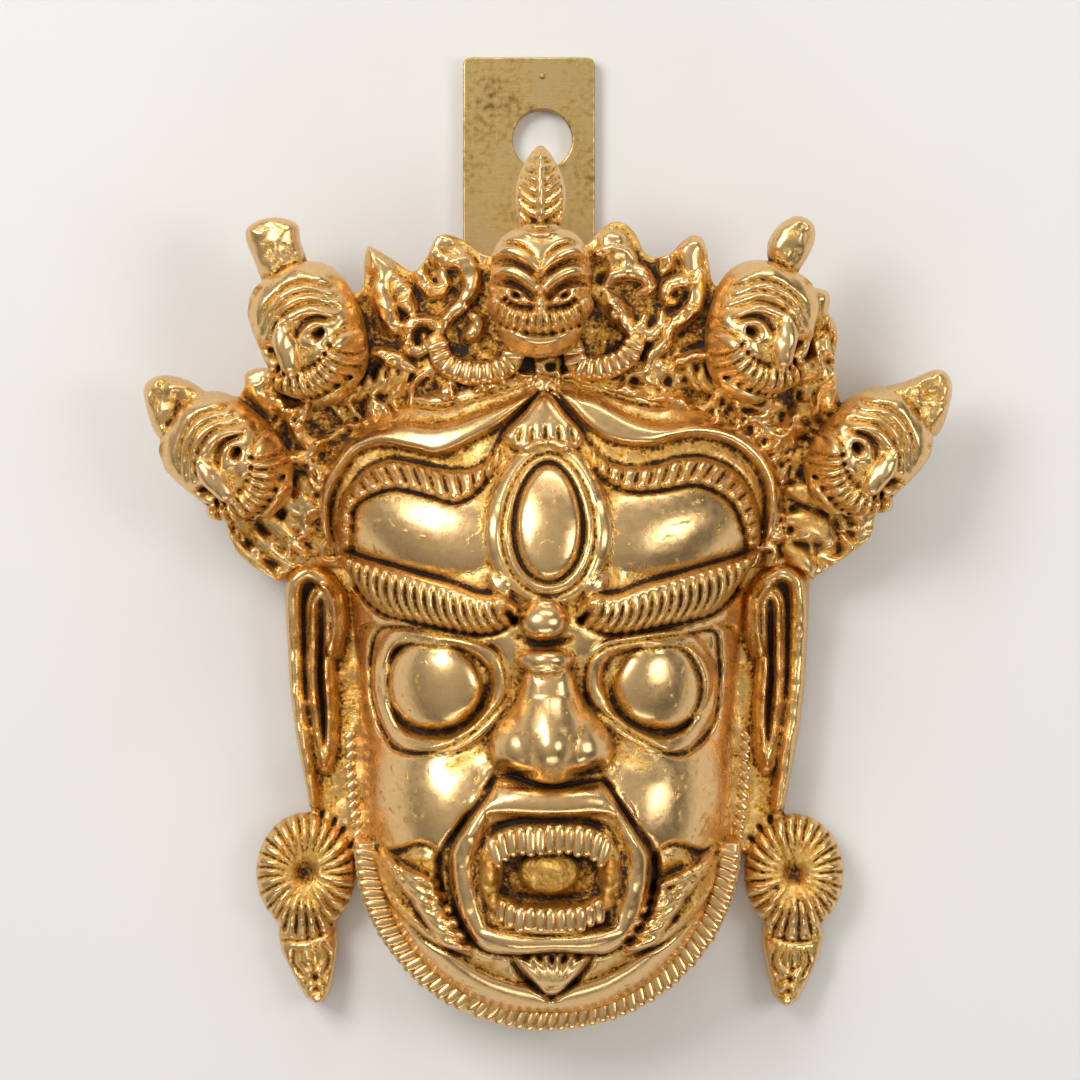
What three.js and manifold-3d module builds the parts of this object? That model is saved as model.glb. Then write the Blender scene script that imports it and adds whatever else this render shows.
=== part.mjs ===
// A wrathful three-eyed protector mask in cast brass, a small wall piece: a hollow face with
// bared teeth, long ears with ribbed earrings and a fanned crown of five skulls, and behind the
// crown a drilled plate that it hangs by. It lies on its back, face up: X runs across the face,
// Y from the beard to the crown and Z up through the nose. Sizes are in millimetres.
import * as THREE from 'three';
import { mergeVertices } from 'three/addons/utils/BufferGeometryUtils.js';
import Module from 'manifold-3d';

const wasm = await Module();
wasm.setup();

// The cast shell of the head
const WALL = 3;
const JAW_Y = -50; // level where the round jaw begins
const JAW_HALF_WIDTH = 33;
const JAW_DROP = 32.5; // from that level down to the edge of the beard
const BROW_Y = 5; // level of the widest part of the head
const BROW_HALF_WIDTH = 39.5;
const HEAD_RISE = 24; // from that level up to the top of the head
const HEAD_TOP_Y = BROW_Y + HEAD_RISE;
const CHIN_Y = JAW_Y - JAW_DROP;
const FACE_HEIGHTS = [ // height of the face's middle line above the rim, at shares of its length
  [0, 6], [0.04, 17], [0.11, 27], [0.22, 30.5], [0.34, 30.5], [0.5, 29],
  [0.63, 31], [0.74, 30], [0.85, 26], [0.94, 22.5], [1, 20],
];

// The crown's fan, its skulls and its scrolls
const FAN_CENTRE_Y = -5;
const FAN_INNER_RADIUS = 27;
const FAN_HALF_ANGLE = 93;
const FAN_THICKNESS = 5;
const FAN_FRONT_MIDDLE = 20; // height of the fan's front face over the rim, in the middle
const FAN_FRONT_END = 7;
const SKULL_HALF_WIDTH = 8.3;

// The ears and earrings
const EAR_THICKNESS = 5;
const EAR_BACK_Z = 1.5;
const EAR_LOBE_Y = -53; // level where the lobe ends, behind the earring
const EARRING_RADIUS = 8.3;
const EARRING_HEIGHT = 8;
const EARRING_FLUTES = 12;
const LEAF_HALF_THICKNESS = 2.4;

// How many of each the beard's rope, the teeth, the hair, the brows and the festoons have
const ROPE_STRANDS = 34;
const TEETH = 9;
const HAIR_FLUTES = 11;
const BROW_STROKES = 11;
const FESTOON_RIBS = 7;

// The hanging plate, let into the head's top wall and brazed
const TAB_WIDTH = 22.3;
const TAB_LENGTH = 54.6;
const TAB_THICKNESS = 2.4;
const TAB_CENTRE_X = -3.15;
const TAB_SEAT = 1.5; // how far its foot is let into the wall
const TAB_CORNER = 0.8;
const HOLE_RADIUS = 5.05;
const HOLE_OFFSET_X = 2.25; // the hole was drilled off the plate's middle
const HOLE_FROM_TOP = 13.9;
const BRAZE_GAP = 0.3;

const RADIAN = Math.PI / 180;
const FACET_TOLERANCE = 0.15;
const MERGE_DISTANCE = 0.001;
const V = (x, y, z) => new THREE.Vector3(x, y, z);

// Smooth value at a place, through [place, value] pairs in rising order.
function through(keys, at) {
  const last = keys.length - 1;
  if (at <= keys[0][0]) return keys[0][1];
  if (at >= keys[last][0]) return keys[last][1];
  const slope = (i) => {
    const a = keys[Math.max(i - 1, 0)];
    const b = keys[Math.min(i + 1, last)];
    return (b[1] - a[1]) / (b[0] - a[0]);
  };
  const i = keys.findIndex((k) => k[0] > at) - 1;
  const span = keys[i + 1][0] - keys[i][0];
  const t = (at - keys[i][0]) / span;
  return (2 * t ** 3 - 3 * t ** 2 + 1) * keys[i][1] + (t ** 3 - 2 * t ** 2 + t) * span * slope(i)
    + (3 * t ** 2 - 2 * t ** 3) * keys[i + 1][1] + (t ** 3 - t ** 2) * span * slope(i + 1);
}

// Half the head's width at a level: a round jaw, cheeks that widen upwards, a full forehead.
function halfWidth(y) {
  if (y < JAW_Y) return JAW_HALF_WIDTH * Math.sqrt(Math.max(0, 1 - ((y - JAW_Y) / JAW_DROP) ** 2));
  if (y > BROW_Y) return BROW_HALF_WIDTH * Math.cbrt(Math.max(0, 1 - ((y - BROW_Y) / HEAD_RISE) ** 3));
  const t = (y - JAW_Y) / (BROW_Y - JAW_Y);
  return JAW_HALF_WIDTH + (BROW_HALF_WIDTH - JAW_HALF_WIDTH) * t * t * (3 - 2 * t);
}

// Height of the bare face over the rim, before any carving.
function faceHeight(x, y) {
  const u = Math.min(1, Math.abs(x) / Math.max(halfWidth(y), 0.01));
  const middle = through(FACE_HEIGHTS, (y - CHIN_Y) / (HEAD_TOP_Y - CHIN_Y));
  return middle * Math.sqrt(1 - u ** 2.4);
}

// Height of the crown fan's front face: highest over the forehead, lower towards the ears.
function fanHeight(x, y) {
  const turn = Math.min(1, Math.atan2(Math.abs(x), y - FAN_CENTRE_Y) / (90 * RADIAN));
  return FAN_FRONT_MIDDLE - (FAN_FRONT_MIDDLE - FAN_FRONT_END) * Math.max(turn, 0) ** 1.5;
}

// Unit vector straight out of a surface that is given as a height over the rim.
function outward(height, x, y) {
  const e = 0.4;
  return V(height(x - e, y) - height(x + e, y), height(x, y - e) - height(x, y + e), 2 * e).normalize();
}

// A closed mesh of triangles as a solid. Vertices at one place are merged.
function solid(geometry, matrix) {
  const g = (geometry.index ? geometry.toNonIndexed() : geometry).clone();
  g.deleteAttribute('normal');
  g.deleteAttribute('uv');
  if (matrix) g.applyMatrix4(matrix);
  const merged = mergeVertices(g, MERGE_DISTANCE);
  return new wasm.Manifold(new wasm.Mesh({
    numProp: 3,
    vertProperties: new Float32Array(merged.attributes.position.array),
    triVerts: new Uint32Array(merged.index.array),
  }));
}

function joined(solids) {
  return solids.reduce((all, one) => all.add(one));
}

// A skin over rows of points, each row one closed section. A ring of rows closes on itself.
function loft(rows, ring = false) {
  const count = rows[0].length;
  const points = [];
  const face = (...p) => points.push(...p.flatMap((q) => [q.x, q.y, q.z]));
  const last = ring ? rows.length : rows.length - 1;
  for (let j = 0; j < last; j++) {
    const a = rows[j];
    const b = rows[(j + 1) % rows.length];
    for (let i = 0; i < count; i++) {
      const k = (i + 1) % count;
      face(a[i], a[k], b[k]);
      face(a[i], b[k], b[i]);
    }
  }
  if (!ring) {
    const first = rows[0];
    const end = rows[rows.length - 1];
    for (let i = 1; i < count - 1; i++) {
      face(first[0], first[i + 1], first[i]);
      face(end[0], end[i], end[i + 1]);
    }
  }
  const g = new THREE.BufferGeometry();
  g.setAttribute('position', new THREE.Float32BufferAttribute(points, 3));
  return g;
}

// A carved ridge along a path of places [x, y] on a surface. Its section is half-width by
// half-height at its fullest, and it thins to the given share at its ends. With ribs it swells
// and dips that many times, by the given depth, and with a slant the ribs lean along the path.
function ridge(height, places, wide, high, options = {}) {
  const { lift = 0, sides = 5, ends = 0.35, ring = false, ribs = 0, depth = 0.5, slant = 0 } = options;
  const steps = ribs ? 2 * ribs : options.steps ?? 8;
  const flat = new THREE.CatmullRomCurve3(places.map(([x, y]) => V(x, y, 0)), ring, 'centripetal');
  const line = flat.getSpacedPoints(steps);
  if (ring) line.pop();
  const rows = line.map((p, j) => {
    const up = outward(height, p.x, p.y);
    const centre = V(p.x, p.y, height(p.x, p.y)).addScaledVector(up, lift);
    const t = ring ? j / line.length : j / (line.length - 1);
    const along = flat.getTangentAt(Math.min(t, 1));
    const across = V().crossVectors(along, up).normalize();
    const full = ring ? 1 : ends + (1 - ends) * Math.sin(Math.PI * Math.min(1, Math.max(0, t))) ** 0.6;
    const rib = ribs && j % 2 === 0 ? 1 - depth : 1;
    return Array.from({ length: sides }, (_, i) => {
      const a = (sides === 4 ? Math.PI / 4 : Math.PI / 2) - (2 * Math.PI * i) / sides;
      return centre.clone()
        .addScaledVector(across, Math.cos(a) * wide * full)
        .addScaledVector(along, Math.cos(a) * slant)
        .addScaledVector(up, Math.sin(a) * high * full * rib);
    });
  });
  return solid(loft(rows, ring));
}

// A swelling, an ellipsoid of three radii set on a surface and turned about its outward line.
function swelling(height, [x, y], radii, { lift = 0, turn = 0, sides = 10, rings = 6 } = {}) {
  const up = outward(height, x, y);
  const place = new THREE.Matrix4().makeTranslation(...V(x, y, height(x, y)).addScaledVector(up, lift))
    .multiply(new THREE.Matrix4().makeRotationFromQuaternion(
      new THREE.Quaternion().setFromUnitVectors(V(0, 0, 1), up)))
    .multiply(new THREE.Matrix4().makeRotationZ(turn * RADIAN))
    .multiply(new THREE.Matrix4().makeScale(...radii));
  return solid(new THREE.SphereGeometry(1, sides, rings), place);
}

// Each [x, y] of a list moved to the other side of the face.
const mirrored = (places) => places.map(([x, y]) => [-x, y]);
const onSide = (side, places) => (side < 0 ? places : mirrored(places));

// The head as D-shaped sections from the beard up, shrunk by an inset for the hollow inside.
function headBody(inset, floor, across, levels) {
  const low = CHIN_Y + inset;
  const high = HEAD_TOP_Y - inset;
  const leastWidth = 1.5;
  const rows = Array.from({ length: levels + 1 }, (_, j) => {
    const y = low + (high - low) * (0.5 - 0.5 * Math.cos((Math.PI * j) / levels));
    const spread = (HEAD_TOP_Y - CHIN_Y) / (high - low);
    const wide = Math.max(halfWidth(CHIN_Y + (y - low) * spread) - inset, leastWidth);
    const middle = through(FACE_HEIGHTS, (y - low) / (high - low)) - inset;
    const arc = Array.from({ length: across + 1 }, (_, i) => {
      const u = -Math.cos((Math.PI * i) / across);
      return V(wide * u, y, Math.max(middle, 1) * Math.sqrt(Math.max(0, 1 - Math.abs(u) ** 2.4)));
    });
    return floor < 0 ? [V(-wide, y, floor), ...arc, V(wide, y, floor)] : arc;
  });
  return solid(loft(rows));
}

// A big round eye under its lids.
function eye(side) {
  const [x, y] = [side * 18.6, -23.8];
  const lidRing = (a, b) => Array.from({ length: 12 }, (_, i) => [
    x + a * Math.cos((i * Math.PI) / 6), y + b * Math.sin((i * Math.PI) / 6)]);
  return [
    swelling(faceHeight, [x, y], [7.8, 6.8, 4.8], { lift: -0.4 }),
    ridge(faceHeight, lidRing(10, 9), 1.2, 1.8, { ring: true, steps: 14, sides: 4 }),
    ridge(faceHeight, onSide(side, [[-27, -13.5], [-19, -15], [-11.5, -16.5], [-7, -20], [-7.6, -26]]),
      1.3, 2.2, { steps: 6, sides: 4 }),
  ];
}

// A heavy brow, combed into slanting strokes.
function brow(side) {
  const crest = onSide(side, [[-34.6, -3.4], [-29.5, -7.2], [-22, -9.4], [-14.5, -11], [-6.6, -12]]);
  return [ridge(faceHeight, crest, 4.6, 2.9, {
    ribs: BROW_STROKES, depth: 0.35, slant: side * 1.6, sides: 5, ends: 0.4 })];
}

// Bridge, tip and flared wings, with the two swellings over the bridge.
function nose() {
  return [
    swelling(faceHeight, [0, -27.5], [4.4, 10, 6.4], { sides: 8 }),
    swelling(faceHeight, [0.9, -33.6], [5.4, 5, 6.4], { lift: 4.6 }),
    swelling(faceHeight, [-5.6, -34], [4.3, 4, 4.8], { lift: 1.8, sides: 8 }),
    swelling(faceHeight, [6.9, -34], [4.3, 4, 4.8], { lift: 1.8, sides: 8 }),
    swelling(faceHeight, [-0.5, -12.8], [3.8, 3.1, 3.4], { lift: 1.4, sides: 8, rings: 5 }),
    swelling(faceHeight, [-0.3, -19.3], [4.5, 2, 3], { lift: 1.2, sides: 8, rings: 5 }),
  ];
}

function nostrils() {
  return [-5.2, 6.6].map((x) =>
    swelling(faceHeight, [x, -36.6], [1.9, 1.5, 2], { lift: 3.6, sides: 8, rings: 5 }));
}

// The upright third eye in its two rings, under the pointed arch of the hairline.
function thirdEye() {
  const egg = (a, b) => Array.from({ length: 12 }, (_, i) => {
    const t = (i * Math.PI) / 6;
    return [0.2 + a * Math.sin(t) * (1 - 0.14 * Math.cos(t)), 3.4 + b * Math.cos(t)];
  });
  return [
    swelling(faceHeight, [0.1, 3.6], [4.6, 8.6, 3.6]),
    ridge(faceHeight, egg(6.3, 11), 0.9, 1.5, { ring: true, steps: 14, sides: 4 }),
    ridge(faceHeight, egg(8.2, 12.9), 0.9, 1.3, { ring: true, steps: 14, sides: 4 }),
    ridge(faceHeight, [[-8.8, 14.2], [-6.6, 19.2], [-0.2, 24.8], [6.2, 19.2], [8.8, 13.6]], 1.1, 2.2,
      { steps: 8, sides: 4, ends: 0.7 }),
  ];
}

// The hair: a broad smooth band and, under it, a band of upright flutes.
const HAIR_BANDS = {
  left: [[-37.6, -2], [-37.3, 8.5], [-33.6, 14.4], [-28, 17.6], [-22.4, 17.8], [-17, 17],
    [-10.6, 19.6], [-2.6, 24.4]],
  right: [[38.6, -2], [38.8, 7.5], [35.6, 13.8], [29.4, 17.9], [22.8, 18.6], [17, 17.6],
    [11, 19.2], [2.6, 24.4]],
};
const FLUTE_BANDS = {
  left: [[-33.6, 2.5], [-31.6, 8.2], [-27.3, 11], [-22.5, 10.8], [-16.6, 9.4], [-11.6, 10.2], [-8.6, 13.4]],
  right: [[34, 2], [31.8, 8.2], [27.4, 11.2], [22.4, 11.4], [16.6, 10.3], [11.4, 10.6], [7.8, 13.6]],
};

function hair(side) {
  const name = side < 0 ? 'left' : 'right';
  return [
    ridge(faceHeight, HAIR_BANDS[name], 2.4, 2.2, { steps: 11, ends: 0.5 }),
    ridge(faceHeight, FLUTE_BANDS[name], 3.2, 2.1, { ribs: HAIR_FLUTES, depth: 0.5, sides: 4, ends: 0.6 }),
  ];
}

// The roaring mouth: lips around two rows of teeth and the tongue.
function mouth() {
  const lips = [[-9, -40.8], [0.6, -41.8], [9.6, -41], [14, -47], [15.8, -53.5], [14.4, -60.5],
    [10.8, -65], [0, -64.4], [-10, -64.9], [-13.6, -60.5], [-15.2, -53], [-13, -46.5]];
  const upperRow = [[-9.2, -51.6], [-7.4, -48.8], [0.4, -47.6], [8.2, -48.8], [9.8, -51.6]];
  const lowerRow = [[-8.6, -59.8], [0.4, -61], [9.4, -59.6]];
  return [
    ridge(faceHeight, lips, 2.3, 3.2, { ring: true, steps: 20, sides: 5, lift: 0.3 }),
    ridge(faceHeight, upperRow, 3, 3.4, { ribs: TEETH, depth: 0.3, sides: 4, ends: 0.8 }),
    ridge(faceHeight, lowerRow, 2.4, 3, { ribs: TEETH, depth: 0.3, sides: 4, ends: 0.8 }),
    swelling(faceHeight, [0.2, -54.4], [4.1, 2.7, 2.6], { sides: 8, rings: 4 }),
    swelling(faceHeight, [9.4, -56.6], [1.4, 3.2, 3], { sides: 6, rings: 4, lift: 0.6 }),
    swelling(faceHeight, [-9, -56.6], [1.3, 3, 2.8], { sides: 6, rings: 4, lift: 0.6 }),
  ];
}

// Cheeks, the smooth band of the jaw, the flames at the mouth's corners and the small beard.
function cheeksAndJaw() {
  const flameTips = [[-28, -52.4], [-27.4, -56.8], [-23.6, -61], [-17.6, -64.8]];
  const flames = [-1, 1].flatMap((side) => flameTips.map(([x, y], i) =>
    ridge(faceHeight, onSide(side, [[-15.6, -53.6 - 2 * i], [(x - 16) / 2, (y - 52.4 - 2 * i) / 2], [x, y]]),
      1.9, 2.2, { sides: 4, steps: 3, ends: 0.3 })));
  const jaw = [[-28.2, -59], [-22, -66], [-13, -71.4], [0.6, -73], [14, -71.4], [22.6, -66], [28.6, -59]];
  return [
    swelling(faceHeight, [-20.6, -42.4], [10.5, 9.5, 3.6], { turn: 30 }),
    swelling(faceHeight, [21, -42.4], [10.5, 9.5, 3.6], { turn: -30 }),
    ridge(faceHeight, jaw, 3.6, 2.4, { steps: 10, sides: 4, ends: 0.4 }),
    ridge(faceHeight, [[0.6, -66], [0.6, -70], [0.6, -74.2]], 3.4, 3.2, { steps: 3, sides: 4, ends: 0.2 }),
    ...flames,
  ];
}

// The roped edge of the beard, from ear to ear around the jaw. Each strand is a pair of
// sections, one full and one sunk, that lean as they come forward.
function beardRope() {
  const reach = 84 * RADIAN;
  const middleZ = 6.8;
  const outline = [[-1.8, -4.6], [1.3, -4.4], [2.1, 1], [0.4, 7.4], [-3, 8.4]];
  const lean = 0.8 * (reach / ROPE_STRANDS);
  const rows = Array.from({ length: 2 * ROPE_STRANDS + 1 }, (_, j) => {
    const t = reach * (1 - j / ROPE_STRANDS);
    const sunk = j % 2 ? 0 : 0.8;
    return outline.map(([r, z]) => {
      const turn = t + lean * (z / middleZ);
      const out = r > 0 ? r - sunk : r;
      return V((JAW_HALF_WIDTH - 2.1 + out) * Math.sin(turn),
        JAW_Y - (JAW_DROP - 2.1 + out) * Math.cos(turn), middleZ + z - (z > 0 ? sunk : 0));
    });
  });
  return [solid(loft(rows))];
}

// A long ear: a thin plate with a hooked outer rim and an inner fold. Its lobe runs on behind
// the earring that hangs from it.
function ear(side) {
  const edge = (y) => halfWidth(y)
    + through([[EAR_LOBE_Y, 4], [-44, 4.8], [-37, 5.6], [-26, 6.8], [-10, 5.4], [-3, 0.6]], y);
  const outline = [EAR_LOBE_Y, -44, -39, -33, -26, -18, -10, -5, -2.4].map((y) => [edge(y), y]);
  const shape = new THREE.Shape([
    ...outline.map(([x, y]) => new THREE.Vector2(x, y)),
    new THREE.Vector2(halfWidth(-2) - 4, -2),
    new THREE.Vector2(halfWidth(EAR_LOBE_Y) - 3, EAR_LOBE_Y),
  ]);
  const plate = solid(
    new THREE.ExtrudeGeometry(shape, { depth: EAR_THICKNESS, bevelEnabled: false }),
    new THREE.Matrix4().makeTranslation(0, 0, EAR_BACK_Z));
  const rimTop = () => EAR_BACK_Z + EAR_THICKNESS;
  const near = (y) => halfWidth(y) - 2.6;
  const rim = [[near(-20), -20], [near(-11) - 0.4, -11], [near(-4) + 2.4, -4.4], [edge(-6) - 1.2, -6.2],
    [edge(-16) - 1.1, -16], [edge(-27) - 1.1, -27], [edge(-37) - 1.2, -37], [edge(-45) - 1.6, -45]];
  const fold = [[near(-15) + 1.6, -15.6], [near(-11) + 2, -11], [edge(-10) - 4, -9.6], [edge(-16) - 4, -15],
    [edge(-26) - 4.2, -26], [edge(-36) - 4, -36], [near(-40) + 2, -40]];
  const made = [
    plate,
    ridge(rimTop, rim, 1.7, 3, { steps: 11, sides: 4, ends: 0.7 }),
    ridge(rimTop, fold, 1.7, 2.6, { steps: 8, sides: 4, ends: 0.5 }),
  ];
  return side > 0 ? made : made.map((m) => m.mirror([1, 0, 0]));
}

// A round earring, a fluted dome with a hollow middle, and the leaf that hangs from it.
function earring(x, y, leafTip, leafHalfWidth) {
  const flat = (z) => () => z;
  const count = EARRING_FLUTES * 2;
  const ringAt = (radius, z, depth) => Array.from({ length: count }, (_, i) => {
    const a = (Math.PI * i) / EARRING_FLUTES;
    return V(x + radius * Math.cos(a), y + radius * Math.sin(a), z - (i % 2 ? depth : 0));
  });
  const dome = loft([
    ringAt(EARRING_RADIUS - 0.6, EAR_BACK_Z, 0),
    ringAt(EARRING_RADIUS, EARRING_HEIGHT - 3.6, 0.4),
    ringAt(EARRING_RADIUS * 0.66, EARRING_HEIGHT, 0.7),
    ringAt(EARRING_RADIUS * 0.3, EARRING_HEIGHT - 0.5, 0.6),
    ringAt(EARRING_RADIUS * 0.16, EARRING_HEIGHT - 3, 0),
  ]);
  const [tipX, tipY] = leafTip;
  const top = [x, y - EARRING_RADIUS + 2];
  const leafKeys = [[0, 0.8], [0.25, 1], [0.65, 0.7], [1, 0.12]];
  const rows = leafKeys.map(([t, share]) => Array.from({ length: 6 }, (_, i) => {
    const a = (Math.PI * i) / 3;
    return V(top[0] + (tipX - top[0]) * t + leafHalfWidth * share * Math.cos(a), top[1] + (tipY - top[1]) * t,
      EAR_BACK_Z + LEAF_HALF_THICKNESS + (0.4 + 0.6 * share) * LEAF_HALF_THICKNESS * Math.sin(a));
  }));
  const vein = ridge(flat(EAR_BACK_Z + 2 * LEAF_HALF_THICKNESS - 0.6), [top, [(top[0] + tipX) / 2, (top[1] + tipY) / 2], [tipX, tipY + 2]],
    0.8, 1, { sides: 4, steps: 3 });
  return [solid(dome), solid(loft(rows)), vein];
}

// Outer reach of the crown's fan at an angle from the middle, negative on the left.
const FAN_REACH = [[-93, 44], [-86, 52], [-78, 56], [-66, 60], [-57, 60], [-46, 60], [-35, 58], [-25, 55.6],
  [-10, 55], [0, 56], [9, 55.8], [20, 54.8], [30, 56.5], [40, 60], [47, 64], [55, 59.5], [64, 58], [76, 61],
  [84, 54], [93, 44]];

function fan() {
  const steps = 22;
  const rows = Array.from({ length: steps + 1 }, (_, j) => {
    const angle = FAN_HALF_ANGLE * ((2 * j) / steps - 1);
    const at = (radius, drop) => {
      const x = radius * Math.sin(angle * RADIAN);
      const y = FAN_CENTRE_Y + radius * Math.cos(angle * RADIAN);
      return V(x, y, fanHeight(x, y) - drop);
    };
    const reach = through(FAN_REACH, angle);
    return [at(FAN_INNER_RADIUS, 0), at(FAN_INNER_RADIUS, FAN_THICKNESS), at(reach, FAN_THICKNESS), at(reach, 0)];
  });
  return solid(loft(rows));
}

// One skull in its own frame: X across, Y up to the topknot, Z out of the brow. Its sections
// from chin to crown hold [level, half-width, half-depth] as shares of its half-width.
const SKULL_SECTIONS = [[-1.34, 0.3, 0.36], [-1.1, 0.6, 0.72], [-0.6, 0.77, 0.84],
  [-0.1, 0.94, 0.86], [0.4, 1, 0.95], [0.85, 0.83, 0.8], [1.14, 0.5, 0.5], [1.28, 0.14, 0.16]];

function skull(knotHalfWidth, knotLength) {
  const w = SKULL_HALF_WIDTH;
  const ball = (x, y, z, rx, ry, rz, sides, rings) => solid(new THREE.SphereGeometry(1, sides, rings),
    new THREE.Matrix4().makeTranslation(x, y, z).multiply(new THREE.Matrix4().makeScale(rx, ry, rz)));
  const around = 8;
  const body = solid(loft(SKULL_SECTIONS.map(([y, half, deep]) => Array.from({ length: around }, (_, i) => {
    const a = (-2 * Math.PI * (i + 0.5)) / around;
    return V(half * w * Math.cos(a), y * w, deep * w * Math.sin(a));
  }))));
  const front = (x, y) => {
    const [half, deep] = [1, 2].map((k) => through(SKULL_SECTIONS.map((row) => [row[0], row[k]]), y / w));
    return deep * w * Math.sqrt(Math.max(0.05, 1 - (x / (half * w)) ** 2));
  };
  const scaled = (places) => places.map(([x, y]) => [x * w, y * w]);
  return joined([
    body,
    ball(0, w * 1.2 + knotLength * 0.42, -0.1 * w, knotHalfWidth, knotLength * 0.56, knotHalfWidth * 0.9, 6, 5),
    ball(0, -0.34 * w, 0.84 * w, 0.16 * w, 0.4 * w, 0.24 * w, 4, 3),
    ridge(front, scaled([[-0.84, 0.42], [-0.46, 0.34], [0, 0.06], [0.46, 0.34], [0.84, 0.42]]), 0.12 * w, 0.16 * w,
      { sides: 4, steps: 4 }),
    ridge(front, scaled([[-0.7, -0.5], [-0.36, -0.86], [0, -0.96], [0.36, -0.86], [0.7, -0.5]]), 0.2 * w, 0.2 * w,
      { sides: 4, ribs: 4, depth: 0.35, ends: 0.8 }),
  ])
    .subtract(ball(-0.44 * w, -0.12 * w, 0.84 * w, 0.29 * w, 0.22 * w, 0.34 * w, 6, 3))
    .subtract(ball(0.44 * w, -0.12 * w, 0.84 * w, 0.29 * w, 0.22 * w, 0.34 * w, 6, 3));
}

// Where the five skulls stand on the fan: place, lean of the topknot, turn outwards, distance
// out, size, and the topknot's half-width and length.
const SKULLS = [
  { at: [-1.2, 41.6], lean: 0, yaw: 0, lift: 4.2, size: 1, knot: [4, 13.4] },
  { at: [-39, 35.6], lean: 21, yaw: -26, lift: 3.2, size: 1.06, knot: [4.2, 8.4] },
  { at: [36.4, 37.4], lean: -17, yaw: 26, lift: 3.2, size: 1, knot: [4.2, 8] },
  { at: [-55, 16.4], lean: 55, yaw: -24, lift: 2.4, size: 0.98, knot: [5.6, 6] },
  { at: [55, 17.2], lean: -50, yaw: 24, lift: 2.4, size: 0.98, knot: [5.6, 6.6] },
];

function skulls() {
  return SKULLS.map(({ at: [x, y], lean, yaw, lift, size, knot }) => {
    const place = new THREE.Matrix4().makeTranslation(x, y, fanHeight(x, y) + lift)
      .multiply(new THREE.Matrix4().makeRotationZ(lean * RADIAN))
      .multiply(new THREE.Matrix4().makeRotationY(yaw * RADIAN))
      .multiply(new THREE.Matrix4().makeScale(size, size, size));
    return skull(...knot).transform(place.elements);
  });
}

// Flames and curling clouds between the skulls, as paths over the fan.
const SCROLLS = [
  { path: [[-29.8, 49], [-27.6, 46.4], [-27.6, 41.6], [-26.6, 37.4], [-24.6, 35]], wide: 1.9 },
  { path: [[-15.6, 49.4], [-18.4, 49.4], [-17.6, 46.6], [-14, 46.4], [-12.6, 43], [-14.2, 39.4], [-17.4, 36]], wide: 1.3 },
  { path: [[-17.4, 35.6], [-20.6, 36.9], [-23.4, 35.2], [-22.6, 32], [-20, 32.8]], wide: 1.2 },
  { path: [[-21, 45.8], [-20.6, 42.6], [-18.2, 41.6], [-17.2, 44.2]], wide: 1.3 },
  { path: [[-23.8, 42.8], [-22.6, 38.6]], wide: 1.4 },
  { path: [[8, 50.8], [11.6, 52], [14, 47.4], [12, 45.4]], wide: 2.2 },
  { path: [[9.8, 42.8], [13, 44.2], [16.6, 43.6], [15, 40.8]], wide: 1.2 },
  { path: [[23.4, 51.2], [23.6, 47], [24.8, 43], [23.4, 38.4], [19.6, 34], [16.8, 30.4]], wide: 1.5 },
  { path: [[24.6, 42.4], [21.6, 42.9], [19.4, 41], [20.8, 39.4]], wide: 1.1 },
  { path: [[18.8, 37.8], [18.8, 35.4], [16, 34], [16, 37.2]], wide: 1.1 },
  { path: [[8, 41.2], [11, 38], [14, 34.6]], wide: 1.8 },
  { path: [[-47.6, 29.6], [-43, 24], [-38, 20]], wide: 2.2 },
  { path: [[46.6, 38.6], [45.8, 33], [43.4, 28]], wide: 2.4 },
  { path: [[48.6, 27.4], [44.6, 23.6], [40.6, 20]], wide: 1.8 },
  { path: [[-54.4, 6.4], [-47.6, 3.4], [-41.6, 5.6]], wide: 2.4 },
  { path: [[-48.4, -0.6], [-43.6, 0.6], [-40.6, 2.6]], wide: 1.8 },
  { path: [[58, 8], [50, 5.4], [42, 6.6]], wide: 2.4 },
  { path: [[50.4, -1.8], [45, 0.4], [41.6, 2.4]], wide: 2 },
];

// The two ribbed festoons that hang under the middle skull.
const FESTOONS = [
  [[-18.4, 33], [-17, 29.8], [-12, 27.8], [-7.6, 28.6], [-5.6, 31.4]],
  [[4, 31.6], [5.6, 28.8], [9.6, 28.4], [13.4, 30.8], [14.6, 34]],
];

function crownCarving() {
  const festoons = FESTOONS.map((path) =>
    ridge(fanHeight, path, 2.2, 3.4, { ribs: FESTOON_RIBS, depth: 0.4, sides: 4, ends: 0.7 }));
  const scrolls = SCROLLS.map(({ path, wide }) =>
    ridge(fanHeight, path, wide * 1.15, 3.4, { steps: path.length + 1, sides: 4, ends: 0.6 }));
  return [...scrolls, ...festoons];
}

// The hanging plate, with its drilled hole. Its foot is let into the head's top wall.
const TAB_FOOT_Y = HEAD_TOP_Y - TAB_SEAT;
const TAB_TOP_Y = TAB_FOOT_Y + TAB_LENGTH;

function tabOutline(grow) {
  const [left, right] = [TAB_CENTRE_X - TAB_WIDTH / 2 - grow, TAB_CENTRE_X + TAB_WIDTH / 2 + grow];
  const [foot, top, c] = [TAB_FOOT_Y - grow, TAB_TOP_Y + grow, TAB_CORNER];
  return new THREE.Shape([
    [left, foot], [right, foot], [right, top - c], [right - c, top], [left + c, top], [left, top - c],
  ].map(([x, y]) => new THREE.Vector2(x, y)));
}

function hangingTab() {
  const shape = tabOutline(0);
  shape.holes.push(new THREE.Path().absarc(
    TAB_CENTRE_X + HOLE_OFFSET_X, TAB_TOP_Y - HOLE_FROM_TOP, HOLE_RADIUS, 0, 2 * Math.PI));
  return solid(new THREE.ExtrudeGeometry(shape, { depth: TAB_THICKNESS, bevelEnabled: false, curveSegments: 16 }));
}

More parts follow.
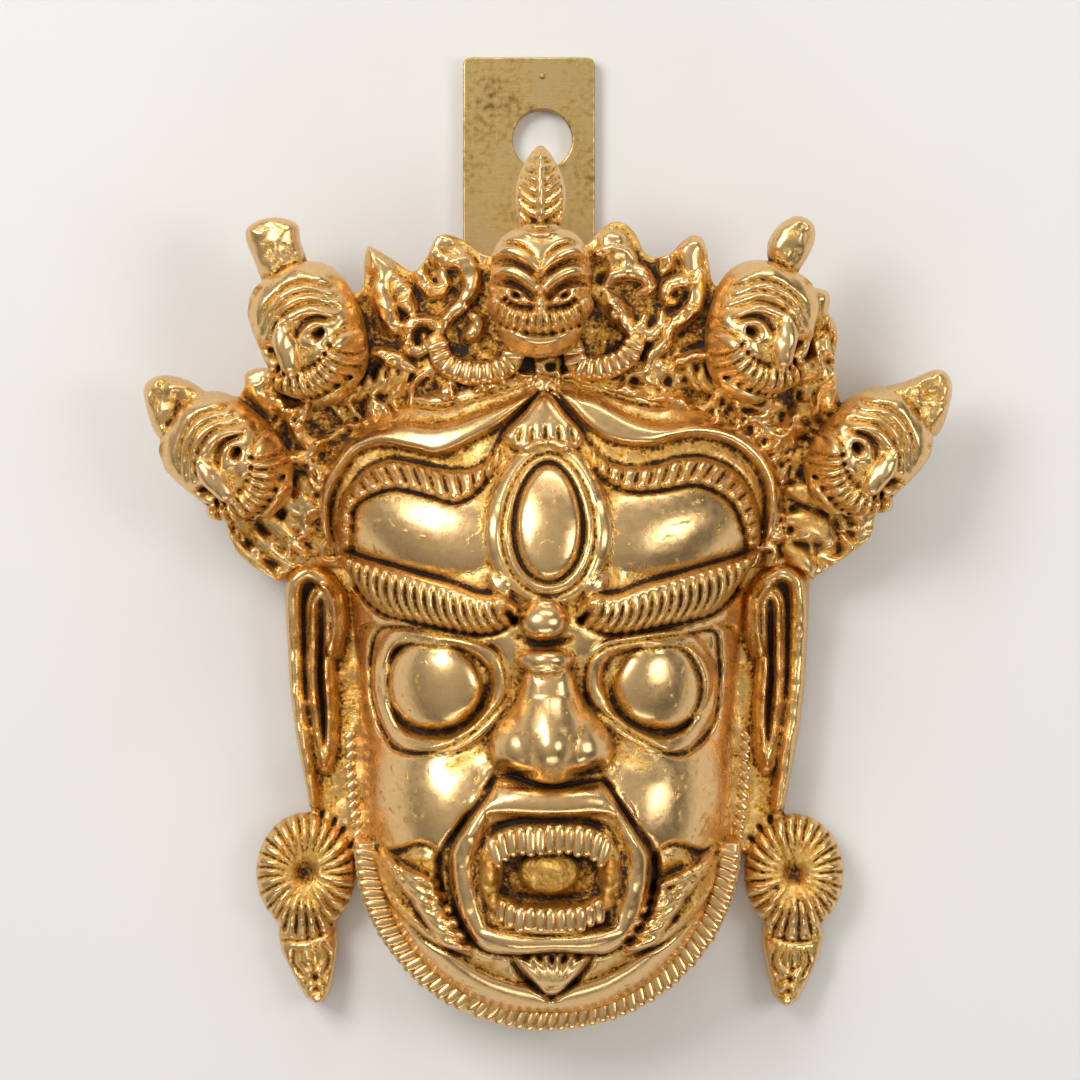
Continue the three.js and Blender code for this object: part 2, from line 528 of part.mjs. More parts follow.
function tabSeat() {
  const below = 1;
  return solid(
    new THREE.ExtrudeGeometry(tabOutline(BRAZE_GAP), { depth: TAB_THICKNESS + BRAZE_GAP + below, bevelEnabled: false }),
    new THREE.Matrix4().makeTranslation(0, 0, -below));
}

function geometryOf(made) {
  const { numProp, vertProperties, triVerts } = made.getMesh();
  const points = Array.from({ length: vertProperties.length / numProp },
    (_, i) => [...vertProperties.subarray(i * numProp, i * numProp + 3)]);
  const geometry = new THREE.BufferGeometry();
  geometry.setAttribute('position', new THREE.Float32BufferAttribute(points.flat(), 3));
  geometry.setIndex([...triVerts]);
  return geometry;
}

// A solid with its pockets, the hollows left shut between two masses, cast full, and with its
// needless facets merged.
function castFull(made) {
  return solid(geometryOf(made.simplify(FACET_TOLERANCE))).decompose()
    .reduce((best, one) => (one.volume() > best.volume() ? one : best));
}

function mask() {
  const carved = joined([
    headBody(0, 0, 12, 16),
    ...eye(-1), ...eye(1), ...brow(-1), ...brow(1), ...nose(), ...thirdEye(),
    ...hair(-1), ...hair(1), ...mouth(), ...cheeksAndJaw(), ...beardRope(),
    ...ear(-1), ...ear(1),
    ...earring(-40.8, -55.2, [-38.6, -77.6], 5.8), ...earring(41.6, -55.2, [40.2, -78], 6.2),
    fan(), ...skulls(), ...crownCarving(),
  ]);
  return castFull(castFull(carved)
    .subtract(joined(nostrils()))
    .subtract(headBody(WALL, -1, 10, 12))
    .subtract(tabSeat()));
}

function meshOf(made, name, material) {
  const geometry = geometryOf(made);
  geometry.computeVertexNormals();
  const mesh = new THREE.Mesh(geometry, material);
  mesh.name = name;
  return mesh;
}

const castBrass = new THREE.MeshStandardMaterial({ color: 0xc9963f, roughness: 0.32, metalness: 1 });
const filedBrass = new THREE.MeshStandardMaterial({ color: 0xb58c42, roughness: 0.5, metalness: 1 });

// The origin lies under the middle of the whole piece, on the surface that it rests on.
const whole = new THREE.Group();
whole.add(meshOf(mask(), 'mask', castBrass), meshOf(hangingTab(), 'hanging_tab', filedBrass));
const reach = new THREE.Box3().setFromObject(whole);
whole.position.set(-(reach.min.x + reach.max.x) / 2, -(reach.min.y + reach.max.y) / 2, -reach.min.z);

export default whole;
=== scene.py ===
# %% [markdown]
# # A cast brass protector mask
# The real mask is one lost-wax casting in brass: a hollow face with bared teeth, long ears with
# ribbed earrings, and a fan of five skulls for a crown. Behind the crown a drilled bar is brazed on,
# so that the mask can hang. It is drawn here lying on its back, as a camera above it sees it.
#
# A wax model has soft, blended forms with lines cut into them. Meshes pushed into each other meet in
# hard creases, so the casting is built as a field instead: a grid of numbers that are negative in the
# metal and positive outside. Two forms blend where their fields do, and one skin is drawn at the end.

import math

import bmesh
import bpy
import numpy as np
from mathutils import Matrix, Vector


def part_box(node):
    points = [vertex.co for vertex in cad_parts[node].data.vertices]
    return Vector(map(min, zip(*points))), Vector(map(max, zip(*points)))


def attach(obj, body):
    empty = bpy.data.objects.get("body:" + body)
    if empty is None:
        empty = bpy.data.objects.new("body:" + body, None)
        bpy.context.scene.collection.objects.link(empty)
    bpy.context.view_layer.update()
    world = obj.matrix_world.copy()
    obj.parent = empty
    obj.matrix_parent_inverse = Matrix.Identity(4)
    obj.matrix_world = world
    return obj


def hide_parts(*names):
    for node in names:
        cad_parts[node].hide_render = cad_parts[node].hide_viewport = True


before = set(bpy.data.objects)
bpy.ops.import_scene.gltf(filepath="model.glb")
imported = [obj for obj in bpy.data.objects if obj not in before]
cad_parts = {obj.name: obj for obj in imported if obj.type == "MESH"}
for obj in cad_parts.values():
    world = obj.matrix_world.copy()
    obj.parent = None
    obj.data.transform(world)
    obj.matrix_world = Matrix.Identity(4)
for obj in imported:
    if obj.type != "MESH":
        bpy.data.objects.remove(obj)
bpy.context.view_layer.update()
bar_low, bar_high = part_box("hanging_tab")
MM = 0.001

# %% [markdown]
# ## The sculptor's own frame
# All the carving is placed in millimetres from a point between the eyes and the third eye, on the
# plane that the back rim rests on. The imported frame's origin lies a hair beside it. The bar's left
# edge and top end are known in both, and give the step from one to the other.

# %% From the sculptor's millimetres to the frame's metres
BAR_LEFT, BAR_TOP = -14.3, 82.1
BAR_WIDTH, BAR_LENGTH, BAR_THICK = 22.3, 54.6, 2.4
SHIFT = np.array([bar_low[0] / MM - BAR_LEFT, bar_high[1] / MM - BAR_TOP, 0.0])
STEP = 0.26  # grid spacing of the fields
HEAD_MOST, CROWN_MOST, EAR_MOST = ((185000, 190000, 40000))
print("shift in mm", SHIFT.round(3), "grid", STEP)

# %% [markdown]
# ## The bare face
# Under the carving the head is a simple shell. Its half-width changes with the level: a round jaw,
# cheeks that widen upwards, a full forehead. Its height over the rim follows a smooth curve through
# a few measured heights. The solids are built on the same two curves.

# %% Half-width and height of the head at a level
JAW_Y, JAW_HALF, JAW_DROP = -50.0, 33.0, 32.5
BROW_Y, BROW_HALF, HEAD_RISE = 5.0, 39.5, 24.0
CHIN_Y, TOP_Y = JAW_Y - JAW_DROP, BROW_Y + HEAD_RISE
WALL = 3.0
SHARES = np.array([0, 0.04, 0.11, 0.22, 0.34, 0.5, 0.63, 0.74, 0.85, 0.94, 1])
HEIGHTS = np.array([6, 17, 27, 30.5, 30.5, 29, 31, 30, 26, 22.5, 20])


def through(xs, ys, at):
    """A smooth curve through points, read at any places."""
    slope = np.gradient(ys, xs)
    k = np.clip(np.searchsorted(xs, at) - 1, 0, len(xs) - 2)
    span = xs[k + 1] - xs[k]
    t = np.clip((at - xs[k]) / span, 0, 1)
    a, b = t * t * (3 - 2 * t), t * (1 - t)
    return ys[k] * (1 - a) + ys[k + 1] * a + span * b * ((1 - t) * slope[k] - t * slope[k + 1])


def half_width(y):
    jaw = JAW_HALF * np.sqrt(np.clip(1 - ((y - JAW_Y) / JAW_DROP) ** 2, 0, 1))
    brow = BROW_HALF * np.cbrt(np.clip(1 - ((y - BROW_Y) / HEAD_RISE) ** 3, 0, 1))
    t = np.clip((y - JAW_Y) / (BROW_Y - JAW_Y), 0, 1)
    cheek = JAW_HALF + (BROW_HALF - JAW_HALF) * t * t * (3 - 2 * t)
    return np.where(y < JAW_Y, jaw, np.where(y > BROW_Y, brow, cheek))


def middle_height(y):
    return through(SHARES, HEIGHTS, (y - CHIN_Y) / (TOP_Y - CHIN_Y))


def bare_face(x, y):
    u = np.clip(np.abs(x) / np.maximum(half_width(y), 0.01), 0, 1)
    return middle_height(y) * np.sqrt(1 - u ** 2.4)


def crown_fan(x, y):
    """Height of the crown's fan over the rim: highest over the forehead, lower to the ears."""
    turn = np.clip(np.arctan2(np.abs(x), y + 5) / (math.pi / 2), 0, 1.05)
    return 20 - 13 * turn ** 1.5


print("head is", round(float(2 * half_width(np.array(5.0))), 1), "mm wide at the forehead")

# %% [markdown]
# ## Drawing on the wax
# Most of the carving is strokes and swellings on a surface. They are drawn flat, as heights over a
# rectangle of the mask seen from the front, and lifted out of the surface later. A stroke has a
# round section and thins to its ends. A pillow fills an outline and rounds off at its edge. A groove
# is a soft line pressed in, and a sandy patch is skin as the mould left it. A second table on the
# sheet keeps where patina stays dark. Strokes could be curves with a bevel, but those cross each other
# in hard creases, and heights simply add.

# %% Lines through points, and how a stroke thins
def smooth(points, closed=False, fine=7):
    """A smooth line through the points given."""
    p = np.asarray(points, float)
    ends = (p[-1:], p[:2]) if closed else (2 * p[:1] - p[1:2], 2 * p[-1:] - p[-2:-1])
    q = np.vstack([ends[0], p, ends[1]])
    t = np.linspace(0, 1, fine, endpoint=False)[:, None]
    spans = [0.5 * (2 * b + (c - a) * t + (2 * a - 5 * b + 4 * c - d) * t ** 2
                    + (3 * b - a - 3 * c + d) * t ** 3) for a, b, c, d in zip(q, q[1:], q[2:], q[3:])]
    return np.vstack(spans + ([spans[0][:1]] if closed else [p[-1:]]))


def on_side(flip, points):
    """Points drawn for one side of the face as they are, or mirrored where flip is -1."""
    return [(x * flip, y) for x, y in points]


def taper(share, ends):
    """Fullness of a stroke along its length: thin at its ends, full between."""
    rise = ends[0] + (1 - ends[0]) * np.sin(np.clip(share / 0.4, 0, 1) * math.pi / 2)
    fall = ends[1] + (1 - ends[1]) * np.sin(np.clip((1 - share) / 0.4, 0, 1) * math.pi / 2)
    return np.maximum(np.minimum(rise, fall), 0.02)


print("a line through 3 points has", len(smooth([(0, 0), (1, 2), (3, 2)])), "places")

# %% A sheet of heights, and the tools that draw on it
class Sheet:
    def __init__(self, low, high, step=STEP):
        self.step = step
        self.xs = np.arange(low[0], high[0] + step, step)
        self.ys = np.arange(low[1], high[1] + step, step)
        self.height = np.zeros((len(self.xs), len(self.ys)))
        self.dark = np.zeros_like(self.height)
        self.sand = 0.6 * self.clouds(0.8, 31) + self.clouds(1.5, 32)

    def window(self, line, reach):
        low, high = np.min(line, 0) - reach, np.max(line, 0) + reach
        i = slice(*np.searchsorted(self.xs, [low[0], high[0]]))
        j = slice(*np.searchsorted(self.ys, [low[1], high[1]]))
        return i, j, *np.meshgrid(self.xs[i], self.ys[j], indexing="ij")

    def measure(self, line, reach):
        """The window around a line, and in it the distance to the line and the share along it."""
        i, j, X, Y = self.window(line, reach)
        steps = np.diff(line, axis=0)
        lengths = np.maximum(np.hypot(*steps.T), 1e-6)
        run = np.concatenate([[0], np.cumsum(lengths)])
        best, share = np.full(X.shape, 1e3), np.zeros(X.shape)
        for (ax, ay), (dx, dy), length, start in zip(line, steps, lengths, run):
            t = np.clip(((X - ax) * dx + (Y - ay) * dy) / length ** 2, 0, 1)
            away = np.hypot(X - ax - t * dx, Y - ay - t * dy)
            near = away < best
            best = np.where(near, away, best)
            share = np.where(near, (start + t * length) / run[-1], share)
        return (i, j), best, share

    def stroke(self, points, half, height, ends=(0.3, 0.3), closed=False, layer=None):
        spot, away, share = self.measure(smooth(points, closed), half + self.step)
        full = 1 if closed else taper(share, ends)
        bulge = height * full ** 0.7 * np.sqrt(np.clip(1 - (away / (half * full)) ** 2, 0, 1))
        if layer is None:
            self.height[spot] += bulge
        else:
            layer[spot] = np.maximum(layer[spot], bulge)

    def groove(self, points, half, depth, ends=(0.4, 0.4), closed=False):
        spot, away, share = self.measure(smooth(points, closed), 2.2 * half)
        full = 1 if closed else taper(share, ends)
        press = np.exp(-(away / half) ** 2) * full
        self.height[spot] -= depth * press
        self.dark[spot] = np.maximum(self.dark[spot], press * min(1, depth / 0.9))

    def depth_inside(self, points):
        """How far each place in a closed outline is from its edge."""
        line = smooth(points, closed=True, fine=5)
        spot, away, _ = self.measure(line, self.step)
        X, Y = np.meshgrid(self.xs[spot[0]], self.ys[spot[1]], indexing="ij")
        within = np.zeros(X.shape, bool)
        for (ax, ay), (bx, by) in zip(line, line[1:]):
            if ay != by:
                within ^= ((ay > Y) != (by > Y)) & (X < (bx - ax) * (Y - ay) / (by - ay) + ax)
        return spot, np.where(within, away, -away)

    def pillow(self, points, height, edge):
        spot, depth = self.depth_inside(points)
        s = np.clip(depth / edge, 0, 1)
        self.height[spot] += height * np.sqrt(1 - (1 - s) ** 2)

    def sandy(self, points, deep=0.35, edge=1.2, shade=0.5):
        """The skin as it came out of the mould, where no file reaches."""
        spot, depth = self.depth_inside(points)
        full = np.clip(depth / edge, 0, 1)
        self.height[spot] += deep * full * self.sand[spot]
        self.dark[spot] = np.maximum(self.dark[spot], shade * full)

    def swell(self, centre, radii, height, turn=0.0, power=1.0):
        """A rounded swelling added to what is there."""
        reach = max(radii)
        i, j, X, Y = self.window([centre], reach)
        c, s = math.cos(math.radians(turn)), math.sin(math.radians(turn))
        u = ((X - centre[0]) * c + (Y - centre[1]) * s) / radii[0]
        v = ((Y - centre[1]) * c - (X - centre[0]) * s) / radii[1]
        self.height[i, j] += height * np.clip(1 - u ** 2 - v ** 2, 0, 1) ** power

    def clouds(self, size, seed):
        """Soft random hills and dips between -1 and 1, about as wide as the size."""
        def weights(values):
            at = (values - values[0]) / size
            k = at.astype(int)
            t = at - k
            t = t * t * (3 - 2 * t)
            table = np.zeros((len(values), k.max() + 2))
            table[np.arange(len(values)), k] = 1 - t
            table[np.arange(len(values)), k + 1] = t
            return table
        a, b = weights(self.xs), weights(self.ys)
        return a @ np.random.default_rng(seed).uniform(-1, 1, (a.shape[1], b.shape[1])) @ b.T

    def soften(self):
        """The heights with the sharpest edges taken off, as wax is rubbed with a warm tool."""
        h = np.pad(self.height, 1, mode="edge")
        h = (h[:-2] + 2 * h[1:-1] + h[2:]) / 4
        return (h[:, :-2] + 2 * h[:, 1:-1] + h[:, 2:]) / 4

    def read(self, table, x, y):
        """A table's values at any places, read between its points."""
        i = np.clip((x - self.xs[0]) / (self.xs[1] - self.xs[0]), 0, len(self.xs) - 1.001)
        j = np.clip((y - self.ys[0]) / (self.ys[1] - self.ys[0]), 0, len(self.ys) - 1.001)
        m, n = i.astype(int), j.astype(int)
        s, t = i - m, j - n
        low = table[m, n] * (1 - s) + table[m + 1, n] * s
        high = table[m, n + 1] * (1 - s) + table[m + 1, n + 1] * s
        return low * (1 - t) + high * t


face = Sheet((-43, -85), (43, 32))
print("face sheet", face.height.shape)

# %% [markdown]
# ## Hair, arch and third eye
# Above the forehead lie two bands: a broad polished one, and under it one of upright flutes. They
# rise to a point over the third eye, which stands upright in two thin rings.

# %% The hair's two bands and the arch between them
BROAD = {
    -1: [(-37.6, -3), (-38.2, 8.8), (-35.3, 14.4), (-32.3, 17.2), (-27.8, 19.1), (-23.4, 19.8), (-17.7, 19.3),
         (-9.1, 22), (-2.4, 24.9), (-2.2, 24), (-7.5, 19.3), (-11.9, 16.7), (-17.6, 14.2), (-21.8, 14.9),
         (-26.2, 15.8), (-29.1, 15.6), (-32.2, 13.9), (-35.5, 8.6), (-36.4, 4.4), (-36, -3)],
    1: [(39.6, -3), (39.4, 8.8), (38, 13.4), (34.7, 17.3), (30.1, 19.5), (24.4, 20.2), (19.9, 19.3),
        (14.1, 20.4), (8.5, 23.4), (2, 25), (1.8, 24.2), (6.5, 18.8), (11.2, 16.2), (16.8, 15.7),
        (21.2, 16.9), (25.5, 17.2), (30, 16.2), (33.6, 13.6), (35.8, 10), (36.4, 5.7), (36, -3)],
}
FLUTE_TOP = {
    -1: [(-34.6, 0), (-34.2, 6.7), (-31.4, 10.8), (-29, 12.7), (-26.1, 13.7), (-23.3, 13.4), (-17.6, 12.2),
         (-13.3, 11.9), (-10.4, 13.1), (-7.9, 16.4)],
    1: [(35.6, 0), (35, 4.6), (33.6, 8.4), (32, 10.8), (29.4, 12.8), (25.5, 14), (21.1, 13.8), (16.8, 12.6),
        (12.8, 12.5), (9.9, 13.4), (7.2, 15.9)],
}
FLUTE_FOOT = {
    -1: [(-32.4, -1), (-32.1, 4.8), (-30.9, 6.6), (-28.5, 7.9), (-25.6, 8.7), (-22.7, 8.4), (-18.9, 7.4),
         (-15.3, 6.4), (-12.4, 7.5), (-10.2, 9.8), (-8.2, 12.4)],
    1: [(33, -1), (32.4, 2), (30.6, 6), (27.8, 8.2), (24.1, 9.4), (19.7, 8.7), (15.4, 8.2), (12, 8.6),
        (9.4, 10.1), (7.4, 12.2)],
}


def between(line_a, line_b, count, lean=0.0):
    """Pairs of points across a band, evenly spaced along its two edges."""
    a, b = smooth(line_a), smooth(line_b)

    def read(line, shares):
        run = np.concatenate([[0], np.cumsum(np.hypot(*np.diff(line, axis=0).T))])
        return np.stack([np.interp(shares * run[-1], run, line[:, k]) for k in (0, 1)], 1)
    shares = (np.arange(count) + 0.5) / count
    return read(a, shares), read(b, np.clip(shares + lean, 0, 1))


FLUTES = 15
for side in (-1, 1):
    face.pillow(BROAD[side], 2.5, 1.7)
    band = FLUTE_TOP[side] + FLUTE_FOOT[side][::-1]
    face.pillow(band, 2.0, 1.3)
    for top, foot in zip(*between(FLUTE_TOP[side], FLUTE_FOOT[side], FLUTES)):
        face.groove([top * 0.85 + foot * 0.15, (top + foot) / 2, foot * 0.9 + top * 0.1], 0.34, 1.2, (0.7, 0.7))
    face.groove(FLUTE_TOP[side], 0.42, 0.8)
    face.groove(FLUTE_FOOT[side], 0.42, 0.8)
    face.groove([(side * 3, 26.6), (side * 9, 24.6), (side * 17, 22.4), (side * 24, 22.9), (side * 31, 21.2),
                 (side * 36, 16.6)], 0.5, 0.7)

ARCH = [(-9.4, 13), (-7.6, 17.4), (-4.2, 21.4), (-0.5, 25), (3.4, 21), (6.2, 17.4), (9, 13)]
ARCH_LEAF = ARCH[1:-1] + [(3.4, 14.6), (-0.3, 15.8), (-4, 14.6)]
face.pillow(ARCH_LEAF, 2.0, 2.6)
face.groove(ARCH, 0.45, 0.9)
for x in (-4.6, -2.6, -0.4, 1.8, 4.0):
    face.groove([(x * 1.08, 16.2), (x, 17.6), (x * 0.94, 19 - 0.1 * abs(x))], 0.42, 0.8)


def egg(half, long, x=0.1, y=3.6, point=0.12, count=18):
    """An upright oval, a little narrower at its top."""
    t = np.arange(count) * 2 * math.pi / count
    return np.stack([x + half * np.sin(t) * (1 - point * np.cos(t)), y + long * np.cos(t)], 1)


face.pillow(egg(10.2, 13.6, y=3.4), 1.9, 4.5)
face.groove(egg(7.5, 11.6, y=2.9), 0.42, 0.8, closed=True)
face.groove(egg(5.6, 9.7, y=3.2), 0.5, 1.4, closed=True)
face.swell((0.2, 3.6), (5.2, 9.1), 1.5, power=0.5)
print("hair drawn, highest stroke", round(float(face.height.max()), 2), "mm")

# %% [markdown]
# ## Forehead, brows and the root of the nose
# The frown gathers the forehead into two smooth bosses. Each brow is a heavy wing, broadest in its
# middle, combed into slanting locks. Two beads sit between them, over the nose.

# %% Brows and frown
BROW_TOP = [(-34.8, -1.4), (-30.4, -2.6), (-25.1, -4), (-20.1, -5.4), (-15, -6.8), (-11.3, -8.2), (-8, -8.4),
            (-5.2, -9.8)]
BROW_FOOT = [(-34.4, -4.4), (-31.9, -7.9), (-29.2, -10.5), (-26.5, -12.1), (-22.6, -13), (-16.3, -14.3),
             (-12.6, -14.9), (-8.8, -14.7), (-5.4, -12.8)]
LOCKS = 20
for side in (-1, 1):
    flip = -side
    face.swell((side * 21, 3.2), (15, 8.5), 2.0, turn=side * 8, power=0.8)
    outline = on_side(flip, BROW_TOP + BROW_FOOT[::-1])
    face.pillow(outline, 3.8, 3.4)
    tops, feet = between(on_side(flip, BROW_TOP), on_side(flip, BROW_FOOT), LOCKS, lean=0.12)
    for n, (top, foot) in enumerate(zip(tops, feet)):
        outer = 1 - n / LOCKS
        start = top * (0.62 + 0.3 * outer) + foot * (0.38 - 0.3 * outer)
        bend = (start + foot) / 2 + np.array([side * (0.35 + 0.7 * outer), 0])
        face.groove([start, bend, foot * 0.96 + top * 0.04], 0.4 + 0.1 * (n > 16), 1.35, (0.3, 0.9))
    face.groove(on_side(flip, BROW_FOOT), 0.5, 1.2)
    face.groove(on_side(flip, BROW_TOP), 0.42, 0.8)
    face.stroke([(side * 9, -5.6), (side * 7.6, -8), (side * 7.4, -11)], 1.6, 1.6, (0.5, 0.5))
print("brows combed into", LOCKS, "locks each")

# %% [markdown]
# ## Eyes, nose and cheeks
# The eyes are great bulging balls under a double lid. The nose springs from under the beads, with a
# heavy tip and flared wings. The cheeks are the smoothest and most polished part of the mask.

# %% Eyes
LID_IN = {
    -1: [(-24.1, -17), (-26, -19.7), (-26.6, -23.5), (-25.9, -26.8), (-24, -30.3), (-20.2, -31.7),
         (-15, -31.1), (-11.3, -28.3), (-9.3, -24.5), (-9.2, -21.6), (-10.6, -19.3), (-13.9, -17.5),
         (-19.1, -16.8)],
    1: [(16.8, -17.2), (21.5, -17.1), (24.2, -19.5), (25.5, -23.6), (24.9, -27.1), (22.7, -30.3),
        (19.2, -31.8), (15.7, -30.7), (12.3, -28.8), (10, -25.7), (8.7, -22.9), (9.5, -19.5), (12.3, -17.7)],
}
LID_OUT = {
    -1: [(-27.9, -14.6), (-29.3, -18.6), (-29.3, -22.5), (-29, -26.3), (-27.5, -30.7), (-24.9, -34.1),
         (-20.2, -34.4), (-15, -32.8), (-10.1, -29.1), (-6.9, -24.8), (-7.4, -19.5), (-9.3, -17),
         (-13.9, -15.6), (-18.8, -14.9), (-24, -14)],
    1: [(27.6, -14.8), (28.3, -18.4), (28.6, -21.4), (28.3, -24.9), (27.8, -29.5), (25, -33.2), (21.5, -34.8),
        (18, -33.7), (14.9, -31.9), (11.1, -29.4), (8.4, -27.4), (6.6, -25.6), (6.1, -22.2), (7.1, -18.8),
        (10, -16.9), (13.9, -16.1), (18, -15.5), (23.8, -15)],
}
for side in (-1, 1):
    spot, depth = face.depth_inside(LID_OUT[side])
    face.height[spot] -= 0.9 * np.clip(depth / 1.4, 0, 1)
    inner = np.array(LID_IN[side], float)
    centre = inner.mean(axis=0)
    face.stroke(centre + (inner - centre) * 1.14, 1.7, 1.7, closed=True)
    face.sandy([(side * 8, -19), (side * 11.4, -20.5), (side * 12.4, -25), (side * 15.6, -28.4),
                (side * 21, -29.4), (side * 24, -28), (side * 23.6, -31.6), (side * 16, -33),
                (side * 9, -27)], 0.22, 0.8, 0.45)
    face.groove(centre + (inner - centre) * 0.98, 0.42, 1.2, closed=True)
    face.groove([(side * 9.6, -23), (side * 11.8, -27.4), (side * 15.4, -30.2), (side * 20, -30.8)], 0.9, 0.9)
    face.groove(LID_OUT[side], 0.4, 1.1, closed=True)
    face.swell((side * 18.9, -23.5), (8.3, 7.3), 3.7, turn=side * 12, power=0.5)
    face.groove([(side * 27.8, -13.6), (side * 30.6, -14.4), (side * 32, -16)], 0.5, 0.6)
print("eyes drawn, up to", round(float(face.height.max()), 2), "mm")

# %% Beads, nose, cheeks and folds
face.swell((0, -16), (9, 6), 1.2)
face.swell((-0.7, -12.6), (4, 3.4), 3.4, power=0.55)
face.groove([(-4.8, -15.4), (-0.8, -16.5), (3.8, -15.6)], 0.7, 1.4)
face.swell((-0.4, -19.2), (4.7, 2.2), 2.8, power=0.55)
NOSE_EDGE = [(-3.2, -20.6), (-4.6, -24.4), (-6.4, -27.6), (-8.6, -30), (-9.5, -33), (-8.6, -36.4),
             (-5, -37.8), (0.6, -39.6), (6, -37.6), (9.8, -36.4), (10.5, -33), (9.4, -29.8), (7, -27.4),
             (5, -24.2), (3.4, -20.6)]
face.pillow(NOSE_EDGE, 2.9, 3.2)
face.swell((0.2, -27), (5.6, 9.8), 2.0, power=1.0)
face.swell((0.7, -32.6), (8.4, 8), 3.4, power=1.2)
face.swell((0.7, -34.2), (4, 4), 0.9, power=1.3)
for side in (-1, 1):
    face.swell((0.6 + side * 7, -33.2), (3.4, 3.8), 1.0, power=1.2)
    face.groove([(0.6 + side * 8, -36), (0.6 + side * 5.6, -37.2), (0.6 + side * 3.2, -37.4)], 0.8, 1.7,
                (0.6, 0.6))
    face.swell((0.2 + side * 20.6, -42.5), (12.5, 11), 2.6, turn=side * 40, power=1.1)
    face.groove([(side * 8, -36.4), (side * 9.6, -39.4), (side * 11.6, -42.6), (side * 14.9, -47),
                 (side * 17.4, -51), (side * 17.6, -56), (side * 16, -61.4)], 0.6, 1.5)
    face.sandy([(side * 9, -38.4), (side * 13.6, -43.6), (side * 19.4, -50.2), (side * 21, -56),
                (side * 17.4, -63), (side * 14.6, -60.4), (side * 16, -53), (side * 12.6, -46)],
               0.35, 1.4, 0.55)
    face.groove([(side * 9.8, -31.4), (side * 12.8, -35), (side * 17.4, -37.2)], 1.5, 0.4)
print("nose drawn,", len(NOSE_EDGE), "points round it")

# %% [markdown]
# ## The roaring mouth and the beard
# Thick lips make a ring around the teeth. Flames start at the corners of the mouth, a small pointed
# beard hangs under the lower lip, and a smooth band of jaw runs round to the roped edge. The lips are
# drawn on a layer of their own, which keeps the higher of two strokes where they cross.

# %% Lips, gums and tongue
LIPS_OUT = [(-7.5, -38), (-9.8, -41.1), (-13.2, -45.4), (-15.6, -49), (-16.3, -52.7), (-15.8, -57.1),
            (-14.2, -61.5), (-11.6, -65.6), (-9.2, -67.1), (-4.6, -67.2), (1.2, -66.6), (7.1, -67.2),
            (10, -67.1), (13.4, -64.5), (16.6, -59.4), (17.1, -53.4), (16.6, -50.8), (14.2, -46.8),
            (12.2, -43.4), (10.1, -40), (7.9, -38.7), (0.6, -39.6)]
LIPS_IN = [(-8.3, -45.3), (-1.7, -44.4), (7, -44.8), (9.9, -47.4), (11.9, -52.5), (10.8, -58.9), (8.7, -63),
           (-3.2, -62.6), (-8, -61.5), (-10.3, -57.2), (-10.9, -51.4), (-10.1, -48)]
LIPS_CREST = [(-9.2, -41.4), (1.2, -42), (10.2, -41.6), (13.6, -47.2), (14.8, -52.7), (13.4, -60),
              (10.6, -65), (0.4, -65), (-9.4, -64.9), (-12.6, -60.4), (-14, -52.3), (-12.2, -46.4)]
TEETH_RING = [(-9.8, -46.6), (-4, -44.6), (0.4, -44.3), (5, -44.6), (10.2, -46.6), (11, -52), (10.8, -58),
              (9.4, -62.6), (0.4, -63.6), (-8.6, -62.6), (-10.2, -58), (-10.4, -52)]
face.pillow(LIPS_OUT, 1.6, 2.0)
for side in (-1, 1):
    face.sandy([(side * 11.4, -44.5), (side * 15.6, -50), (side * 15.8, -57), (side * 12.4, -63.6),
                (side * 11, -58), (side * 11.4, -50)], 0.22, 1.0, 0.4)
lips = np.zeros_like(face.height)
face.stroke(LIPS_CREST, 1.7, 1.2, closed=True, layer=lips)
face.stroke([(-9.8, -42.6), (-5, -41.9), (0.8, -42.2), (6.4, -41.9), (10.8, -42.8)], 2.5, 2.0, (0.6, 0.6),
            layer=lips)
face.stroke([(-10.6, -63.8), (-5, -64.9), (0.4, -65.1), (5.8, -64.9), (11.4, -63.8)], 2.4, 2.0, (0.6, 0.6),
            layer=lips)
face.height += lips
face.dark *= 1 - 0.7 * np.clip(lips, 0, 1)
spot, depth = face.depth_inside(LIPS_IN)
face.height[spot] -= 1.7 * np.clip(depth / 1.0, 0, 1)
face.sandy(LIPS_IN, 0.3, 0.8, 0.6)
face.groove(LIPS_OUT, 0.45, 1.1, closed=True)
face.groove(TEETH_RING, 0.42, 0.6, closed=True)
face.stroke([(-9, -53.4), (-8.6, -50.2), (-5.6, -48.2), (0.4, -47.8), (6.2, -48.2), (9.2, -50.2),
             (10, -53.4)], 2.6, 3.4, (0.7, 0.7))
face.stroke([(-8.2, -58.2), (-5, -60.6), (0.4, -61), (5.6, -60.6), (9.2, -58.2)], 2.2, 3.2, (0.7, 0.7))
face.stroke([(-9.6, -52), (-9.4, -55.6), (-8.8, -59)], 1.5, 2.4, (0.6, 0.6))
face.stroke([(10.4, -52), (10.2, -55.6), (9.6, -59)], 1.5, 2.4, (0.6, 0.6))
face.swell((0.2, -53.4), (4.9, 3.6), 2.6, power=0.3)
face.swell((0.4, -52.6), (3.6, 1.7), 0.6)
face.groove([(-5, -57.3), (0.3, -57.7), (5.4, -57.3)], 0.6, 1.8)
for x in (-9.2, 9.8):
    face.swell((x, -54.8), (1.9, 2.3), 1.9, power=0.5)
    face.groove([(x - 1, -54), (x, -53.6), (x + 0.9, -54.6), (x, -55.8), (x - 0.9, -55.2)], 0.3, 0.8)
print("mouth is", round(LIPS_OUT[15][0] - LIPS_OUT[4][0], 1), "mm wide")

